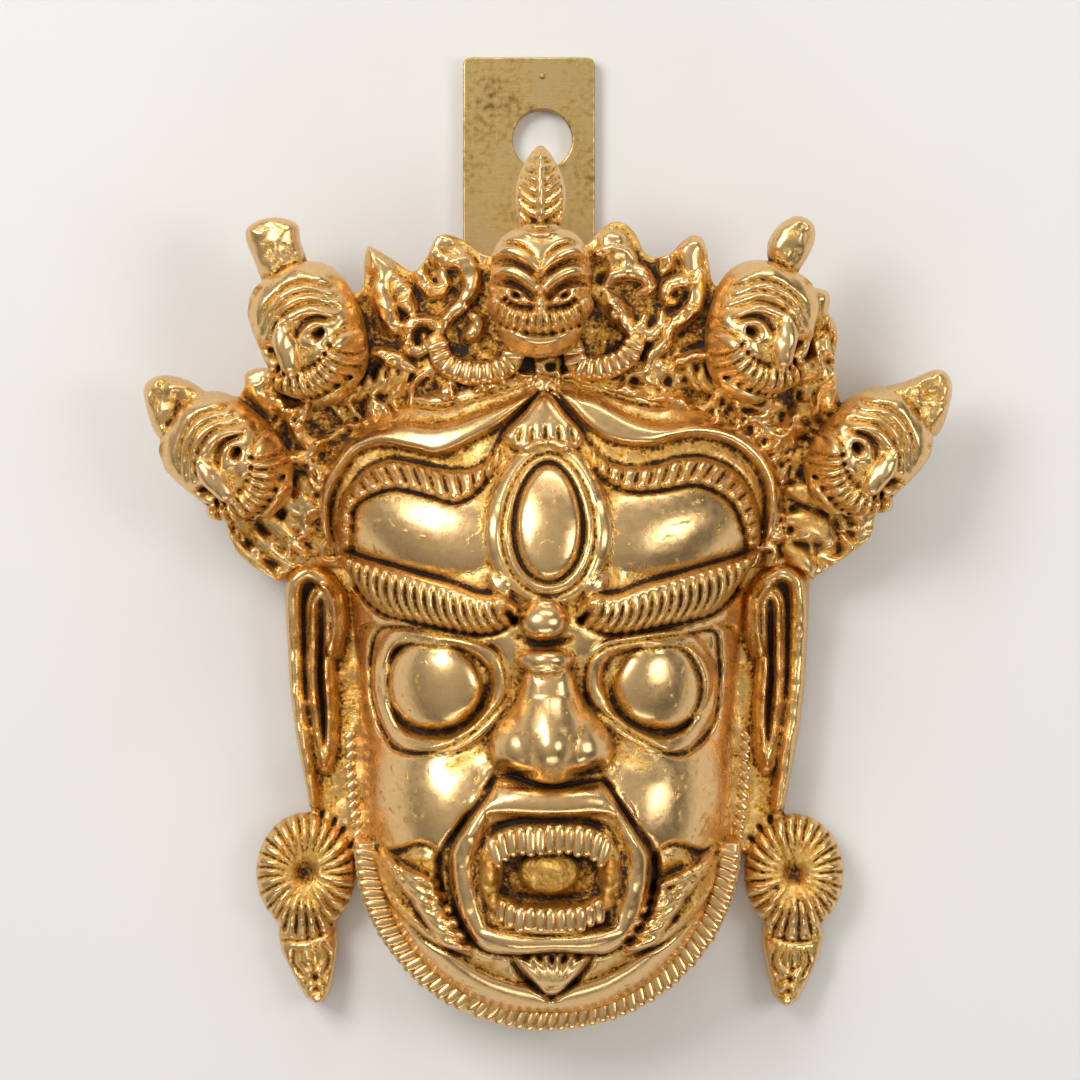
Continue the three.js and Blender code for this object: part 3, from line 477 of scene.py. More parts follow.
# %% Flames, beard and jaw
FLAME_LEAF = [(-29.6, -51.2), (-24, -51.4), (-19.4, -51), (-17.4, -54), (-17.2, -58), (-15.6, -62.6),
              (-13, -66.6), (-18, -65), (-23, -61.4), (-27, -57)]
for side in (-1, 1):
    flip = -side
    face.pillow(on_side(flip, FLAME_LEAF), 1.1, 2.0)
    face.groove(on_side(flip, [(-29.6, -51.6), (-25.6, -51.4), (-21, -49.4), (-18, -50.6),
                               (-16.8, -53.4)]), 0.5, 0.8)
    face.groove(on_side(flip, [(-29.8, -52.4), (-27.6, -57.6), (-23.4, -62.3), (-18.4, -66),
                               (-13, -68)]), 0.5, 1.0)
    face.sandy(on_side(flip, FLAME_LEAF), 0.3, 0.8, 0.65)
    blades = np.zeros_like(face.height)
    for k in range(6):
        root = np.array([-18.4 + 1.1 * k, -56 - 2.0 * k])
        tip = root + np.array([-9.2 + 0.6 * k, 5.2 - 0.4 * k])
        bend = (root + tip) / 2 + np.array([-0.6, -0.5])
        face.stroke(on_side(flip, [tuple(root), tuple(bend), tuple(tip)]), 1.15, 2.7, (0.75, 0.3), layer=blades)
    face.height += blades
    face.dark *= 1 - 0.8 * np.clip(blades / 1.6, 0, 1)
    face.stroke(on_side(flip, [(-29.4, -53.4), (-27, -57.6), (-23.2, -61.6), (-18.2, -65.2),
                               (-13, -67.3)]), 1.1, 1.0)

beard = np.zeros_like(face.height)
for x in (-4.6, -2.4, -0.4, 1.6, 3.8, 5.8):
    route = [(x, -67.8), ((x + 0.6) / 2 + 0.2, -70.8), (0.6 + (x - 0.6) * 0.14, -74.2)]
    face.stroke(route, 1.25, 2.2, (0.6, 0.15), layer=beard)
face.height += beard
for side in (-1, 1):
    face.groove([(0.6 + side * 7, -67.6), (0.6 + side * 4.6, -71.2), (0.6, -75)], 0.5, 1.2)

arc = np.radians(np.linspace(-84, 84, 41))
face.stroke(np.stack([26.4 * np.sin(arc), JAW_Y - 26 * np.cos(arc)], 1), 3.0, 1.6, (0.6, 0.6))
rough = face.clouds(1.1, 3) * 0.10 + face.clouds(2.6, 4) * 0.12
face.height += rough * np.clip(1.2 - face.height, 0, 1.6)
print("face drawn, from", round(float(face.height.min()), 2), "to", round(float(face.height.max()), 2), "mm")

# %% [markdown]
# ## The metal as a field
# A casting is a block of space with a number at each place: about how far it is to the nearest metal
# surface, negative inside. Joining takes the smaller of two fields and cutting the larger, each
# rounded off where they meet. The skin is drawn where the number passes through zero.

# %% Blending, and shapes to blend
def meet(a, b, round_off):
    """The smaller of two fields, blended over a distance."""
    h = np.clip(0.5 + 0.5 * (b - a) / round_off, 0, 1)
    return b + (a - b) * h - round_off * h * (1 - h)


def ball(p, centre, radii, turn=0.0):
    """A round or long swelling, turned in its own plane by an angle in degrees."""
    x, y, z = (p[k] - centre[k] for k in range(3))
    c, s = math.cos(math.radians(turn)), math.sin(math.radians(turn))
    u, v, w = (x * c + y * s) / radii[0], (y * c - x * s) / radii[1], z / radii[2]
    far = np.sqrt(u * u + v * v + w * w) + 1e-6
    steep = np.sqrt((u / radii[0]) ** 2 + (v / radii[1]) ** 2 + (w / radii[2]) ** 2) + 1e-6
    return far * (far - 1) / steep


def tube(p, line, radius):
    """A round bar along a line, with its radius given along it."""
    line = np.asarray(line, float)
    steps = np.diff(line, axis=0)
    lengths = np.maximum(np.sqrt((steps ** 2).sum(1)), 1e-6)
    run = np.concatenate([[0], np.cumsum(lengths)])
    radius = np.interp(np.linspace(0, 1, 33), np.linspace(0, 1, len(np.atleast_1d(radius))),
                       np.atleast_1d(radius))
    best = share = None
    for a, d, length, start in zip(line, steps, lengths, run):
        t = np.clip(sum((p[k] - a[k]) * d[k] for k in range(3)) / length ** 2, 0, 1)
        away = np.sqrt(sum((p[k] - a[k] - t * d[k]) ** 2 for k in range(3)))
        along = (start + t * length) / run[-1]
        if best is None:
            best, share = away, along
        else:
            near = away < best
            best, share = np.where(near, away, best), np.where(near, along, share)
    return best - np.interp(share, np.linspace(0, 1, 33), radius)


print("a ball of 2 mm, measured 3 mm out:", round(float(ball((5.0, 0, 0), (0, 0, 0), (2, 2, 2))), 2))

# %% A block of space
class Casting:
    def __init__(self, low, high):
        self.axes = [np.arange(a, b + STEP, STEP, dtype=np.float32) for a, b in zip(low, high)]
        self.field = np.full([len(a) for a in self.axes], 5, np.float32)
        self.paint = None

    def grid(self, spot=(slice(None),) * 3):
        return np.meshgrid(*[a[s] for a, s in zip(self.axes, spot)], indexing="ij", sparse=True)

    def around(self, points, reach):
        low, high = np.min(points, 0) - reach, np.max(points, 0) + reach
        return tuple(slice(*np.searchsorted(a, [l, h])) for a, l, h in zip(self.axes, low, high))

    def join(self, points, reach, shape, round_off=0.6):
        spot = self.around(points, reach + round_off)
        self.field[spot] = meet(self.field[spot], shape(self.grid(spot)), round_off)

    def top(self, x, y):
        """Where the surface is at a place seen from the front, and which way it faces there."""
        i, j = (int(np.clip(np.searchsorted(a, v), 1, len(a) - 2)) for a, v in zip(self.axes, (x, y)))
        column = self.field[i, j]
        k = int(np.clip(np.nonzero(column < 0)[0].max(initial=1), 1, len(column) - 2))
        z = self.axes[2][k] + STEP * column[k] / (column[k] - column[k + 1] + 1e-9)
        near = self.field[i - 1:i + 2, j - 1:j + 2, k - 1:k + 2]
        n = np.array([near[2, 1, 1] - near[0, 1, 1], near[1, 2, 1] - near[1, 0, 1],
                      near[1, 1, 2] - near[1, 1, 0]])
        return np.array([x, y, float(z)]), n / (np.linalg.norm(n) + 1e-9)


print("a block of 10 mm has", Casting((0, 0, 0), (10, 10, 10)).field.size, "places")

# %% [markdown]
# ## Casting the head
# The bare head is an oval shell. Its field is worked out from the two curves, and the drawn heights
# are taken off it, so that every stroke stands out along the surface's own direction. The hollow
# inside is the same oval, a wall smaller, and the back is cut flat. Near the chin the two curves change
# so fast that the oval's own measure is too short, so an ellipse round the jaw bounds it.

# %% The smooth face and the rope's bed
FACE_LEVELS = np.array([-82, -72, -60, -46, -30, -14, -7, -2, 3, 30])
STAND_BACK = np.array([1.4, 1.5, 1.7, 1.8, 2.7, 4.3, 4.4, 2.6, 0, 0])


def face_half(y):
    """Half-width of the smooth face. It stands back for the ears and, round the jaw, for the rope."""
    return half_width(y) - through(FACE_LEVELS, STAND_BACK, y)


def oval(p, inset=0.0):
    x, y, z = p
    low, high = CHIN_Y + 2.7 + inset, TOP_Y - inset
    level = CHIN_Y + (y - low) * (TOP_Y - CHIN_Y) / (high - low)
    half = np.maximum(face_half(level) - inset, 6)
    deep = np.maximum(middle_height(level) - inset, 2)
    f = np.sqrt((np.abs(x) / half) ** 2.4 + (z / deep) ** 2) - 1
    slopes = np.gradient(f.astype(np.float32), STEP)
    jaw = np.hypot(x / (JAW_HALF - 1.6 - inset), (y - JAW_Y) / (JAW_Y - low)) - 1
    jaw = np.where(y < JAW_Y, jaw * (JAW_Y - low), -9)
    return np.maximum(f / np.sqrt(sum(s * s for s in slopes) + 1e-6), np.maximum(jaw, y - high))


ROPE_A, ROPE_B, ROPE_Z = 30.7, 29.8, 8.8
turns = np.radians(np.linspace(-88, 88, 61))
ROPE_LINE = np.stack([ROPE_A * np.sin(turns), JAW_Y - ROPE_B * np.cos(turns)], 1)
ROPE_SLANT = 0.05


def rope_bed(p):
    """A thick rim round the jaw, from the back edge up to the rope."""
    x, y, z = p
    far = (np.hypot(x / ROPE_A, (y - JAW_Y) / ROPE_B) - 1) * (ROPE_A + ROPE_B) / 2 + ROPE_SLANT * (z - ROPE_Z)
    return np.maximum((((far / 1.8) ** 4 + ((z - ROPE_Z) / 6.3) ** 4) ** 0.25 - 1) * 1.8, y - JAW_Y)


print("rope runs", round(float(np.hypot(*np.diff(ROPE_LINE, axis=0).T).sum()), 1), "mm round the jaw")

# %% The head's field, with its carving and its hollow
head = Casting((-43, -85, -1.2), (43, 32, 46))
points = head.grid()
head.field = oval(points).astype(np.float32)
edge = np.clip((face_half(face.ys)[None, :] - np.abs(face.xs)[:, None]) / 1.5, 0, 1)
edge = edge * np.clip((TOP_Y - 0.6 - face.ys) / 1.5, 0, 1) * np.clip((face.ys - CHIN_Y - 3.4) / 1.5, 0, 1)
carving = (face.soften() * edge)[:head.field.shape[0], :head.field.shape[1], None]
head.field -= carving.astype(np.float32)
head.paint = face
head.field = meet(head.field, rope_bed(points).astype(np.float32), 1.4)
head.field = np.maximum(head.field, -oval(points, WALL)).astype(np.float32)
head.field = np.maximum(head.field, -points[2])
print("head block", head.field.shape, "metal", round(float((head.field < 0).sum() * STEP ** 3 / 1000), 1),
      "cm3")

# %% [markdown]
# ## Drawing the skin
# Each cell of the block that the surface passes through gets one point, at the middle of the places
# where the surface crosses the cell's edges. Four neighbouring points make a face. A reducer then
# merges faces where the surface is plain, and a last attribute says how deep each point lies between
# forms: the share of metal in a small cube around it, and in a larger one. Polish and patina read it.

# %% From a block to points and faces
def skin(casting):
    f = casting.field
    inside = f < 0
    count = np.zeros([n - 1 for n in f.shape], np.int8)
    corners = [(i, j, k) for i in (0, 1) for j in (0, 1) for k in (0, 1)]
    for i, j, k in corners:
        count += inside[i:f.shape[0] - 1 + i, j:f.shape[1] - 1 + j, k:f.shape[2] - 1 + k]
    cells = np.argwhere((count > 0) & (count < 8))
    number = np.full(count.shape, -1, np.int32)
    number[tuple(cells.T)] = np.arange(len(cells))
    values = {c: f[tuple((cells + c).T)] for c in corners}
    total, crossings = np.zeros((len(cells), 3)), np.zeros(len(cells))
    for a in corners:
        for axis in range(3):
            if a[axis]:
                continue
            b = tuple(1 if n == axis else a[n] for n in range(3))
            va, vb = values[a], values[b]
            cross = (va < 0) != (vb < 0)
            t = np.where(cross, va / np.where(cross, va - vb, 1), 0)
            place = np.array(a, float) + t[:, None] * np.eye(3)[axis]
            total += place * cross[:, None]
            crossings += cross
    verts = (cells + total / crossings[:, None]) * STEP + np.array([a[0] for a in casting.axes])
    quads = []
    for axis in range(3):
        u, v = [n for n in range(3) if n != axis]
        lo = [slice(1, -1)] * 3
        lo[axis] = slice(0, -1)
        hi = list(lo)
        hi[axis] = slice(1, None)
        a, b = inside[tuple(lo)], inside[tuple(hi)]
        places = np.argwhere(a != b) + [0 if n == axis else 1 for n in range(3)]
        grow = inside[tuple(places.T)]
        eu, ev = np.eye(3, dtype=int)[u], np.eye(3, dtype=int)[v]
        ring = [number[tuple((places - s).T)] for s in (eu + ev, ev, 0 * eu, eu)]
        ring = np.stack(ring, 1)
        turn = grow if axis != 1 else ~grow
        ring[~turn] = ring[~turn][:, ::-1]
        quads.append(ring)
    return verts, np.vstack(quads)


print("skin of a small ball:", end=" ")
sample = Casting((-3, -3, -3), (3, 3, 3))
sample.join([(0, 0, 0)], 3, lambda p: ball(p, (0, 0, 0), (2, 2, 2)))
print(len(skin(sample)[1]), "faces")

# %% How deep each place lies between forms
def metal_share(casting, radius):
    """The share of metal in a cube of the given half-size around each place of a block."""
    share = (casting.field < 0).astype(np.float32)
    n = max(1, round(radius / STEP))
    for axis in range(3):
        padded = np.pad(share, [(n + 1, n) if a == axis else (0, 0) for a in range(3)], mode="edge")
        run = np.cumsum(padded, axis=axis, dtype=np.float32)
        size = run.shape[axis]
        share = (np.take(run, range(2 * n + 1, size), axis) - np.take(run, range(0, size - 2 * n - 1), axis)) \
            / (2 * n + 1)
    return share


def read_block(casting, block, verts):
    spot = [np.clip(np.round((verts[:, k] - casting.axes[k][0]) / STEP).astype(int), 0, block.shape[k] - 1)
            for k in range(3)]
    return block[tuple(spot)]


middle = tuple(n // 2 for n in sample.field.shape)
print("share of metal at the ball's middle:", float(metal_share(sample, 0.9)[middle]))

# %% A finished casting as an object
HOLLOWS = (("fine_hollow", 0.9), ("wide_hollow", 3.2))


def mesh_of(name, verts, faces):
    mesh = bpy.data.meshes.new(name)
    mesh.vertices.add(len(verts))
    mesh.vertices.foreach_set("co", ((verts + SHIFT) * MM).astype(np.float32).ravel())
    mesh.loops.add(faces.size)
    mesh.loops.foreach_set("vertex_index", faces.astype(np.int32).ravel())
    mesh.polygons.add(len(faces))
    mesh.polygons.foreach_set("loop_start", np.arange(0, faces.size, faces.shape[1], dtype=np.int32))
    mesh.update(calc_edges=True)
    mesh.validate()
    return mesh


def put(name, mesh):
    made = bpy.data.objects.new(name, mesh)
    bpy.context.scene.collection.objects.link(made)
    return made


def baked(made):
    """The object's mesh with its modifiers carried out."""
    bpy.context.view_layer.update()
    done = bpy.data.meshes.new_from_object(made.evaluated_get(bpy.context.evaluated_depsgraph_get()))
    made.modifiers.clear()
    made.data = done
    return made


def cast(name, casting, most_triangles):
    verts, quads = skin(casting)
    made = put(name, mesh_of(name, verts, quads))
    reducer = made.modifiers.new("merge plain faces", "DECIMATE")
    reducer.ratio = min(1, most_triangles / (2 * len(quads)))
    baked(made)
    co = np.empty(len(made.data.vertices) * 3, np.float32)
    made.data.vertices.foreach_get("co", co)
    places = co.reshape(-1, 3) / MM - SHIFT
    for label, radius in HOLLOWS:
        share = read_block(casting, metal_share(casting, radius), places)
        attribute = made.data.attributes.new(label, "FLOAT", "POINT")
        attribute.data.foreach_set("value", share.astype(np.float32))
    attribute = made.data.attributes.new("engraved", "FLOAT", "POINT")
    if casting.paint is not None:
        lines = casting.paint.read(casting.paint.dark, places[:, 0], places[:, 1]) * (places[:, 2] > 2)
        attribute.data.foreach_set("value", lines.astype(np.float32))
    made.data.polygons.foreach_set("use_smooth", np.ones(len(made.data.polygons), bool))
    print(name, len(quads) * 2, "triangles drawn,", len(made.data.polygons), "kept")
    return made


head_piece = cast("mask_head", head, HEAD_MOST)

# %% [markdown]
# ## The crown
# The crown is one fan of metal with everything carved on it. First its ground is drawn on a sheet: a
# tangle of small scrolls, with the larger curls and the locks at its corners drawn over it. The tangle
# could be traced scroll by scroll. Here stirred random hills stand for it, and only the forms that
# stand out are placed one by one.

# %% The fan's outline and its tangled ground
REACH = np.array([(-93, 45.5), (-90, 49.4), (-86, 53.6), (-82, 55.4), (-78, 57.4), (-66, 60), (-57, 60),
                  (-50, 58), (-46, 61), (-42, 57.5), (-38, 58), (-33, 57.5), (-29, 62), (-26.5, 59),
                  (-24.5, 56), (-21, 57), (-18, 59.6), (-14.5, 58), (-12, 55.4), (0, 56), (7, 56), (10.5, 60),
                  (14, 59.4), (17, 56.4), (20.5, 57), (23.5, 62), (26.6, 60), (29.6, 56.5), (36, 58.5),
                  (40, 61), (44, 60), (47, 64), (55, 59.5), (60, 57), (64, 58.5), (70, 57), (76, 61),
                  (80, 57), (84, 55.5), (88, 50), (93, 44.5)], float)
FAN_THICK = 5.0
crown = Casting((-70.5, -13, 0.3), (70.5, 67, 37))
ground = Sheet((-71, -14), (71, 68))
X, Y = np.meshgrid(ground.xs, ground.ys, indexing="ij")


def swirled(size, seed, swirl=2.6):
    """Soft random hills with their places stirred, so that they curl."""
    return ground.read(ground.clouds(size, seed), X + swirl * ground.clouds(4.2, seed + 50),
                       Y + swirl * ground.clouds(4.2, seed + 90))


worms, lumps, fine = swirled(4.2, 11), swirled(2.8, 12), swirled(1.8, 15, 1.2)
ground.height += 1.3 * np.clip(1 - np.abs(worms) / 0.34, 0, 1) ** 0.6
ground.height += 0.9 * np.clip(1 - np.abs(lumps) / 0.3, 0, 1) ** 0.6
ground.height += 0.4 * np.clip(1 - np.abs(fine) / 0.35, 0, 1) + 0.28 * ground.clouds(0.9, 13)
pits = np.clip(np.abs(lumps) - 0.5, 0, 0.5) * (worms > 0.1)
ground.height -= 3.0 * pits
ground.height += 0.16 * ground.sand
ground.dark += np.clip(pits * 3.2, 0, 0.9) + 0.5 * np.clip(1.1 - ground.height, 0, 1)
print("ground drawn, pits over", round(100 * float((pits > 0).mean()), 1), "% of it")

# %% Curls between the skulls
CURLS = [
    ([(-27.4, 44.4), (-27.2, 41.4), (-26.4, 38), (-24.8, 35.2)], 1.6),
    ([(-15.8, 49.3), (-17.9, 50), (-18.7, 48.2), (-17.4, 46.4), (-14.1, 46.2), (-12.6, 44.1), (-12.7, 41.7),
      (-14.3, 39.2), (-16.3, 37.3), (-17.6, 34.9)], 1.3),
    ([(-17.6, 34.9), (-20.1, 36.5), (-22.6, 36.2), (-23.4, 33.9), (-22.3, 31.7), (-20.1, 32.1),
      (-20.4, 34)], 1.1),
    ([(-20.9, 46.2), (-20.7, 43.6), (-19.2, 41.5), (-17.3, 42.3), (-17.4, 44.7)], 1.2),
    ([(-25.4, 43.4), (-23.8, 40.8), (-22.4, 38.2)], 1.5),
    ([(-12.6, 37.4), (-11.4, 35.6), (-13.4, 33.6)], 1.3),
    ([(8.2, 47.6), (11, 48), (13.6, 46.7), (12.4, 45.0)], 1.3),
    ([(9.7, 42.6), (11, 44), (13.6, 44.6), (16, 43.8), (16.6, 42), (14.9, 40.9)], 1.3),
    ([(25.2, 44.4), (24.9, 41.6), (24.2, 39), (22.2, 37.1), (20.4, 35.6), (19.2, 33), (16.9, 30.6)], 1.4),
    ([(24.9, 42.3), (23.4, 42.6), (21.6, 43), (19.9, 42.2), (19.4, 40.4), (20.8, 39.6)], 1.1),
    ([(16.1, 37.3), (15.3, 35.2), (16.9, 34.1), (18.7, 35.5), (18.9, 37.8)], 1.1),
    ([(7.5, 41.6), (9.8, 39.7), (12.4, 37), (14.1, 34.6)], 1.7),
    ([(17.8, 48.6), (19.6, 46.6), (18.8, 44.8)], 1.3),
    ([(-47.6, 31.4), (-49.2, 34), (-47.4, 36.6)], 1.5),
    ([(45.8, 34.2), (44.6, 30.4), (42.8, 27)], 1.6),
    ([(-28.6, 31.4), (-25.4, 30.2), (-22.4, 28.6)], 1.3),
    ([(28, 32.4), (25, 30.6), (21.6, 29.8)], 1.3),
]
between_skulls = np.clip((Y - 29) / 3, 0, 1) * np.clip((33 - np.abs(X)) / 3, 0, 1)
ground.height = ground.height * (1 - 0.4 * between_skulls) - 0.6 * between_skulls
curls = np.zeros_like(ground.height)
for route, thick in CURLS:
    ground.stroke(route, 1.1 * thick + 0.1, 2.5, (0.6, 0.6), layer=curls)
ground.height += curls
ground.dark = np.maximum(ground.dark, 0.4 * between_skulls) * (1 - 0.8 * np.clip(curls / 1.4, 0, 1))
print(len(CURLS), "curls on the ground")

# %% Locks and lumps at the fan's corners
CORNER_LOCKS = {
    -1: (2.0, [([(55, 3.6), (52.2, -0.7), (48.6, -4), (44.6, -7)], 1.4),
               ([(53.4, 7), (49.8, 1.8), (46.2, -1.6), (42.4, -4.4)], 1.3),
               ([(50.2, 8.6), (47.2, 4.4), (43.6, 1), (40.6, -1.4)], 1.6),
               ([(46, 9.4), (43.4, 6.6), (40.6, 4.2)], 1.5), ([(50.4, 10.6), (47.4, 9.2), (45.6, 10.6)], 1.2)]),
    1: (2.4, [([(40.4, 8.6), (43.4, 8), (47, 6)], 2.0), ([(40.6, 4), (44, 3.2), (47.8, 0.6)], 2.3),
              ([(46.4, 13.2), (49.2, 11.4), (51, 8.4)], 2.1), ([(49, 7.4), (51.6, 5.8), (53, 2.8)], 1.9),
              ([(49.4, 1.2), (50.8, -1.4), (49.2, -3.4), (46.6, -2.8)], 1.4),
              ([(56.4, 10.4), (56.6, 6.4), (53.6, 3)], 1.5), ([(40, -1), (43, -3.6), (43.8, -6.6)], 1.9)]),
}
LUMPS = [((46, 24.4), (3.8, 2.4), -60), ((42.4, 21.4), (4.4, 2.2), -40), ((39.4, 17.4), (4.2, 2), -30),
         ((42, 27.4), (3.4, 2.2), 35), ((43.4, 13.6), (3.4, 2.2), 10)]
TUFTS = 5
for side, (rise, routes) in CORNER_LOCKS.items():
    locks = np.zeros_like(ground.height)
    for route, wide in routes:
        ground.stroke(on_side(side, route), wide, rise, (0.5, 0.4), layer=locks)
    for spot, radii, turn in LUMPS:
        ground.swell((side * spot[0], spot[1]), radii, 1.9, turn=-side * turn, power=0.8)
    for k in range(TUFTS):
        tuft = [(33.4 - 2.1 * k, 23.4 + 0.5 * k), (32 - 2.1 * k, 25.4 + 0.6 * k),
                (31.6 - 2.0 * k, 27.6 + 0.7 * k)]
        ground.stroke(on_side(side, tuft), 1.0, 1.7, (0.6, 0.3), layer=locks)
    ground.height = np.maximum(ground.height, locks + 0.3 * (locks > 0))
print("ground's highest place", round(float(ground.height.max()), 2), "mm")

# %% The fan's field
GROUND = ground.soften()
crown.paint = ground


def band_top(x):
    """The upper edge of the hair, where the crown starts."""
    return np.interp(np.abs(x), [0, 3, 9, 17, 24, 31, 36, 39], [27.8, 27.2, 25.4, 23.4, 23.9, 22.2, 17.6, 9])


GROUND_HERE = ground.read(GROUND, *np.meshgrid(crown.axes[0], crown.axes[1], indexing="ij"))[:, :, None]


def fan_plate(p):
    """The fan's field: a curved plate with the ground on its front."""
    x, y, z = p
    far = np.hypot(x, y + 5)
    angle = np.degrees(np.arctan2(x, y + 5))
    reach = through(REACH[:, 0], REACH[:, 1], angle) - 1.2
    over_head = bare_face(x, y) + 0.4 - 3 * np.clip(band_top(x) - y, 0, 4)
    height = np.maximum(crown_fan(x, y) + 0.6, over_head) - 0.4 + GROUND_HERE
    turn = 89 + 3 * np.clip((far - 42) / 3, 0, 1)
    sides = np.maximum(far - reach, np.maximum(24 - far, 0.75 * (np.abs(angle) - turn)))
    body = np.maximum(z - height, crown_fan(x, y) - FAN_THICK - z)
    return -meet(-sides, -body, 1.0)


crown.field = fan_plate(crown.grid()).astype(np.float32)


def on_fan(points, lift=0.0):
    """Places on the fan's front from places seen from the front."""
    p = np.asarray(points, float)
    return np.column_stack([p, crown_fan(p[:, 0], p[:, 1]) + lift])


print("fan block", crown.field.shape)

# %% [markdown]
# ## Flame tips, topknots and festoons
# Flames end in blunt tips that stand out past the fan's edge, and the four side skulls wear topknots
# left as rough as they were cast. Each is a plump slab inside a traced outline, with coarse grain on its
# front. Two ribbed festoons hang beside the middle skull. They are round bars, and get their ribs later.

# %% Flame tips, lumps and topknots
SLABS = [
    ([(-29.9, 48.9), (-28.5, 48.5), (-25.5, 46.1), (-24.8, 44.4), (-25.7, 41.9), (-24.6, 39.6), (-25.2, 36),
      (-27, 34.8), (-28.8, 38.4), (-28.5, 42.6), (-29.9, 45)], 2.2, 0.15),
    ([(-18.2, 50.3), (-16.5, 49.9), (-13.7, 48.5), (-13.1, 47.1), (-14.9, 46.1), (-16.9, 46.9),
      (-18.4, 48.3)], 2.0, 0.15),
    ([(8.3, 50.4), (10.3, 51.8), (12.8, 51), (13.6, 48), (12.6, 45.6), (10.1, 44.4), (8.5, 46.8)], 2.2, 0.15),
    ([(22.4, 49.7), (25, 50.4), (26.3, 48.3), (25.6, 45), (25.7, 42), (23.8, 39.7), (22.4, 42.4),
      (21.8, 45.6), (21.3, 47.9)], 2.2, 0.15),
    ([(42.5, 42), (45.9, 42), (47, 40.5), (46.4, 37.2), (46.4, 34.1), (44.9, 31.1), (42.5, 32.6),
      (43.3, 37.8)], 2.0, 0.3),
    ([(42.5, 28.8), (46.4, 29.9), (48.4, 26.5), (48.2, 21.9), (44.9, 20.5), (41.8, 23.5)], 2.6, 0.5),
    ([(-50.5, 28), (-46.7, 28.8), (-44.4, 24.3), (-45.9, 20.5), (-49.7, 24.1)], 2.6, 0.5),
    ([(-50.1, 51.6), (-45.9, 53.8), (-41.6, 52.8), (-41, 50), (-40, 46.2), (-42.8, 43.6), (-46.7, 42.6),
      (-48.5, 46.2)], 4.8, 0.45),
    ([(41.3, 54), (43.9, 52.8), (44.3, 50), (42.5, 46.2), (39.9, 43.6), (36.7, 46.5), (36.5, 49.7),
      (38.4, 52.6)], 4.8, 0.35),
    ([(-67.3, 26), (-64.6, 27.8), (-60.5, 27.2), (-57.2, 25), (-57.4, 22), (-61, 20.4), (-63.6, 17),
      (-65.6, 18.2), (-67, 22.4)], 4.6, 0.6),
    ([(56.2, 25.4), (60.2, 27), (64.8, 28.8), (67, 27.6), (67.4, 24.2), (65.3, 18), (62, 18.6),
      (59, 21.6)], 4.6, 0.6),
]
coarse = 0.8 * ground.clouds(1.2, 61) + ground.clouds(2.2, 62)
for outline, rise, rough in SLABS:
    spot, depth = ground.depth_inside(outline)
    inside = np.full_like(ground.height, -4.0)
    inside[spot] = depth
    ends = on_fan(outline)
    here = crown.around(ends, 8)
    q = crown.grid(here)
    plane = np.meshgrid(crown.axes[0][here[0]], crown.axes[1][here[1]], indexing="ij")
    depth = ground.read(inside, *plane)[:, :, None]
    grain = ground.read(coarse, *plane)[:, :, None] * rough * np.clip(depth / 1.0, 0, 1)
    plump = np.sqrt(1 - (1 - np.clip(depth / 3.4, 0, 1)) ** 2)
    front = crown_fan(q[0], q[1]) + rise + (0.5 * rise + 0.6) * (plump - 1) + grain
    slab = -meet(depth, -np.maximum((q[2] - front) * 0.8, crown_fan(q[0], q[1]) - 2 - q[2]), 1.6)
    crown.field[here] = meet(crown.field[here], slab, 1.0)
    ground.dark[spot] = np.maximum(ground.dark[spot] * (inside[spot] < 0),
                                   0.4 * rough * np.clip(inside[spot], 0, 1))

print(len(SLABS), "slabs joined to the fan")

# %% Festoons
FESTOONS = [[(-18.4, 33), (-17.2, 29.9), (-14.9, 28.4), (-12, 27.8), (-8.7, 28.1), (-6, 29.7), (-5.6, 31.6)],
            [(4.2, 32), (4.8, 29.4), (7, 28.5), (10.3, 29), (13, 30.5), (14.4, 33)]]
for route in FESTOONS:
    line = on_fan(smooth(route, fine=4), 1.6)
    crown.join(line, 4, lambda p: tube(p, line, (1.7, 2.1, 1.7)), 0.4)
print(len(FESTOONS), "festoons laid")

# %% [markdown]
# ## The skulls
# The five skulls share one model: a round brain-case and a jaw, with a face drawn on them. The middle
# one looks ahead, with slanting eyes, double brows, a grin of ribbed teeth and a leaf-shaped topknot.
# The side ones turn outwards, so they are seen from the side, and a second drawing serves them, mirrored
# for the other side. A skull is made in its own frame, with Y to the topknot and Z out of the brow, and
# placed by turning the space around it.

# %% The middle skull's face
SKULL_HALF = 8.3
look = Sheet((-10, -13), (10, 12), 0.2)
for side in (-1, 1):
    look.stroke(on_side(side, [(0.3, 2.4), (2.6, 4.6), (5.4, 5.8), (7.8, 4.8)]), 1.0, 1.0)
    look.stroke(on_side(side, [(0.1, -1.2), (2.6, 1.2), (5.4, 2.4), (7.8, 1.8)]), 1.1, 1.2, (0.7, 0.3))
    look.groove(on_side(side, [(0.1, 0.9), (2.6, 3), (5.4, 4.1), (7.6, 3.4)]), 0.45, 0.8)
    look.groove(on_side(side, [(1, 4.7), (3, 6.4), (5.8, 7)]), 0.42, 0.7)
    look.groove(on_side(side, [(0.7, -2.6), (2.6, -0.7), (5.2, 0.6), (7.4, 0.2)]), 0.6, 1.2)
    look.pillow(on_side(side, [(1.5, -3), (2.6, -1.4), (4.8, -0.2), (6.6, -0.1), (5.8, -1.8),
                               (3.6, -3.1)]), 0.9, 0.9)
    look.swell((side * 3.9, -1.6), (1.1, 0.9), 0.6, power=0.5)
    look.groove(on_side(side, [(3.7, -1.7), (4.1, -1.5)]), 0.6, 2.8, (1, 1))
    look.swell((side * 6.4, -2.6), (2.2, 1.6), 0.8)
look.swell((0, -3.2), (1.3, 2.3), 1.7, power=0.7)
for y in (8.2, 9.7):
    look.stroke([(-2.6, y + 0.5), (0, y), (2.6, y + 0.5)], 0.5, 0.6)
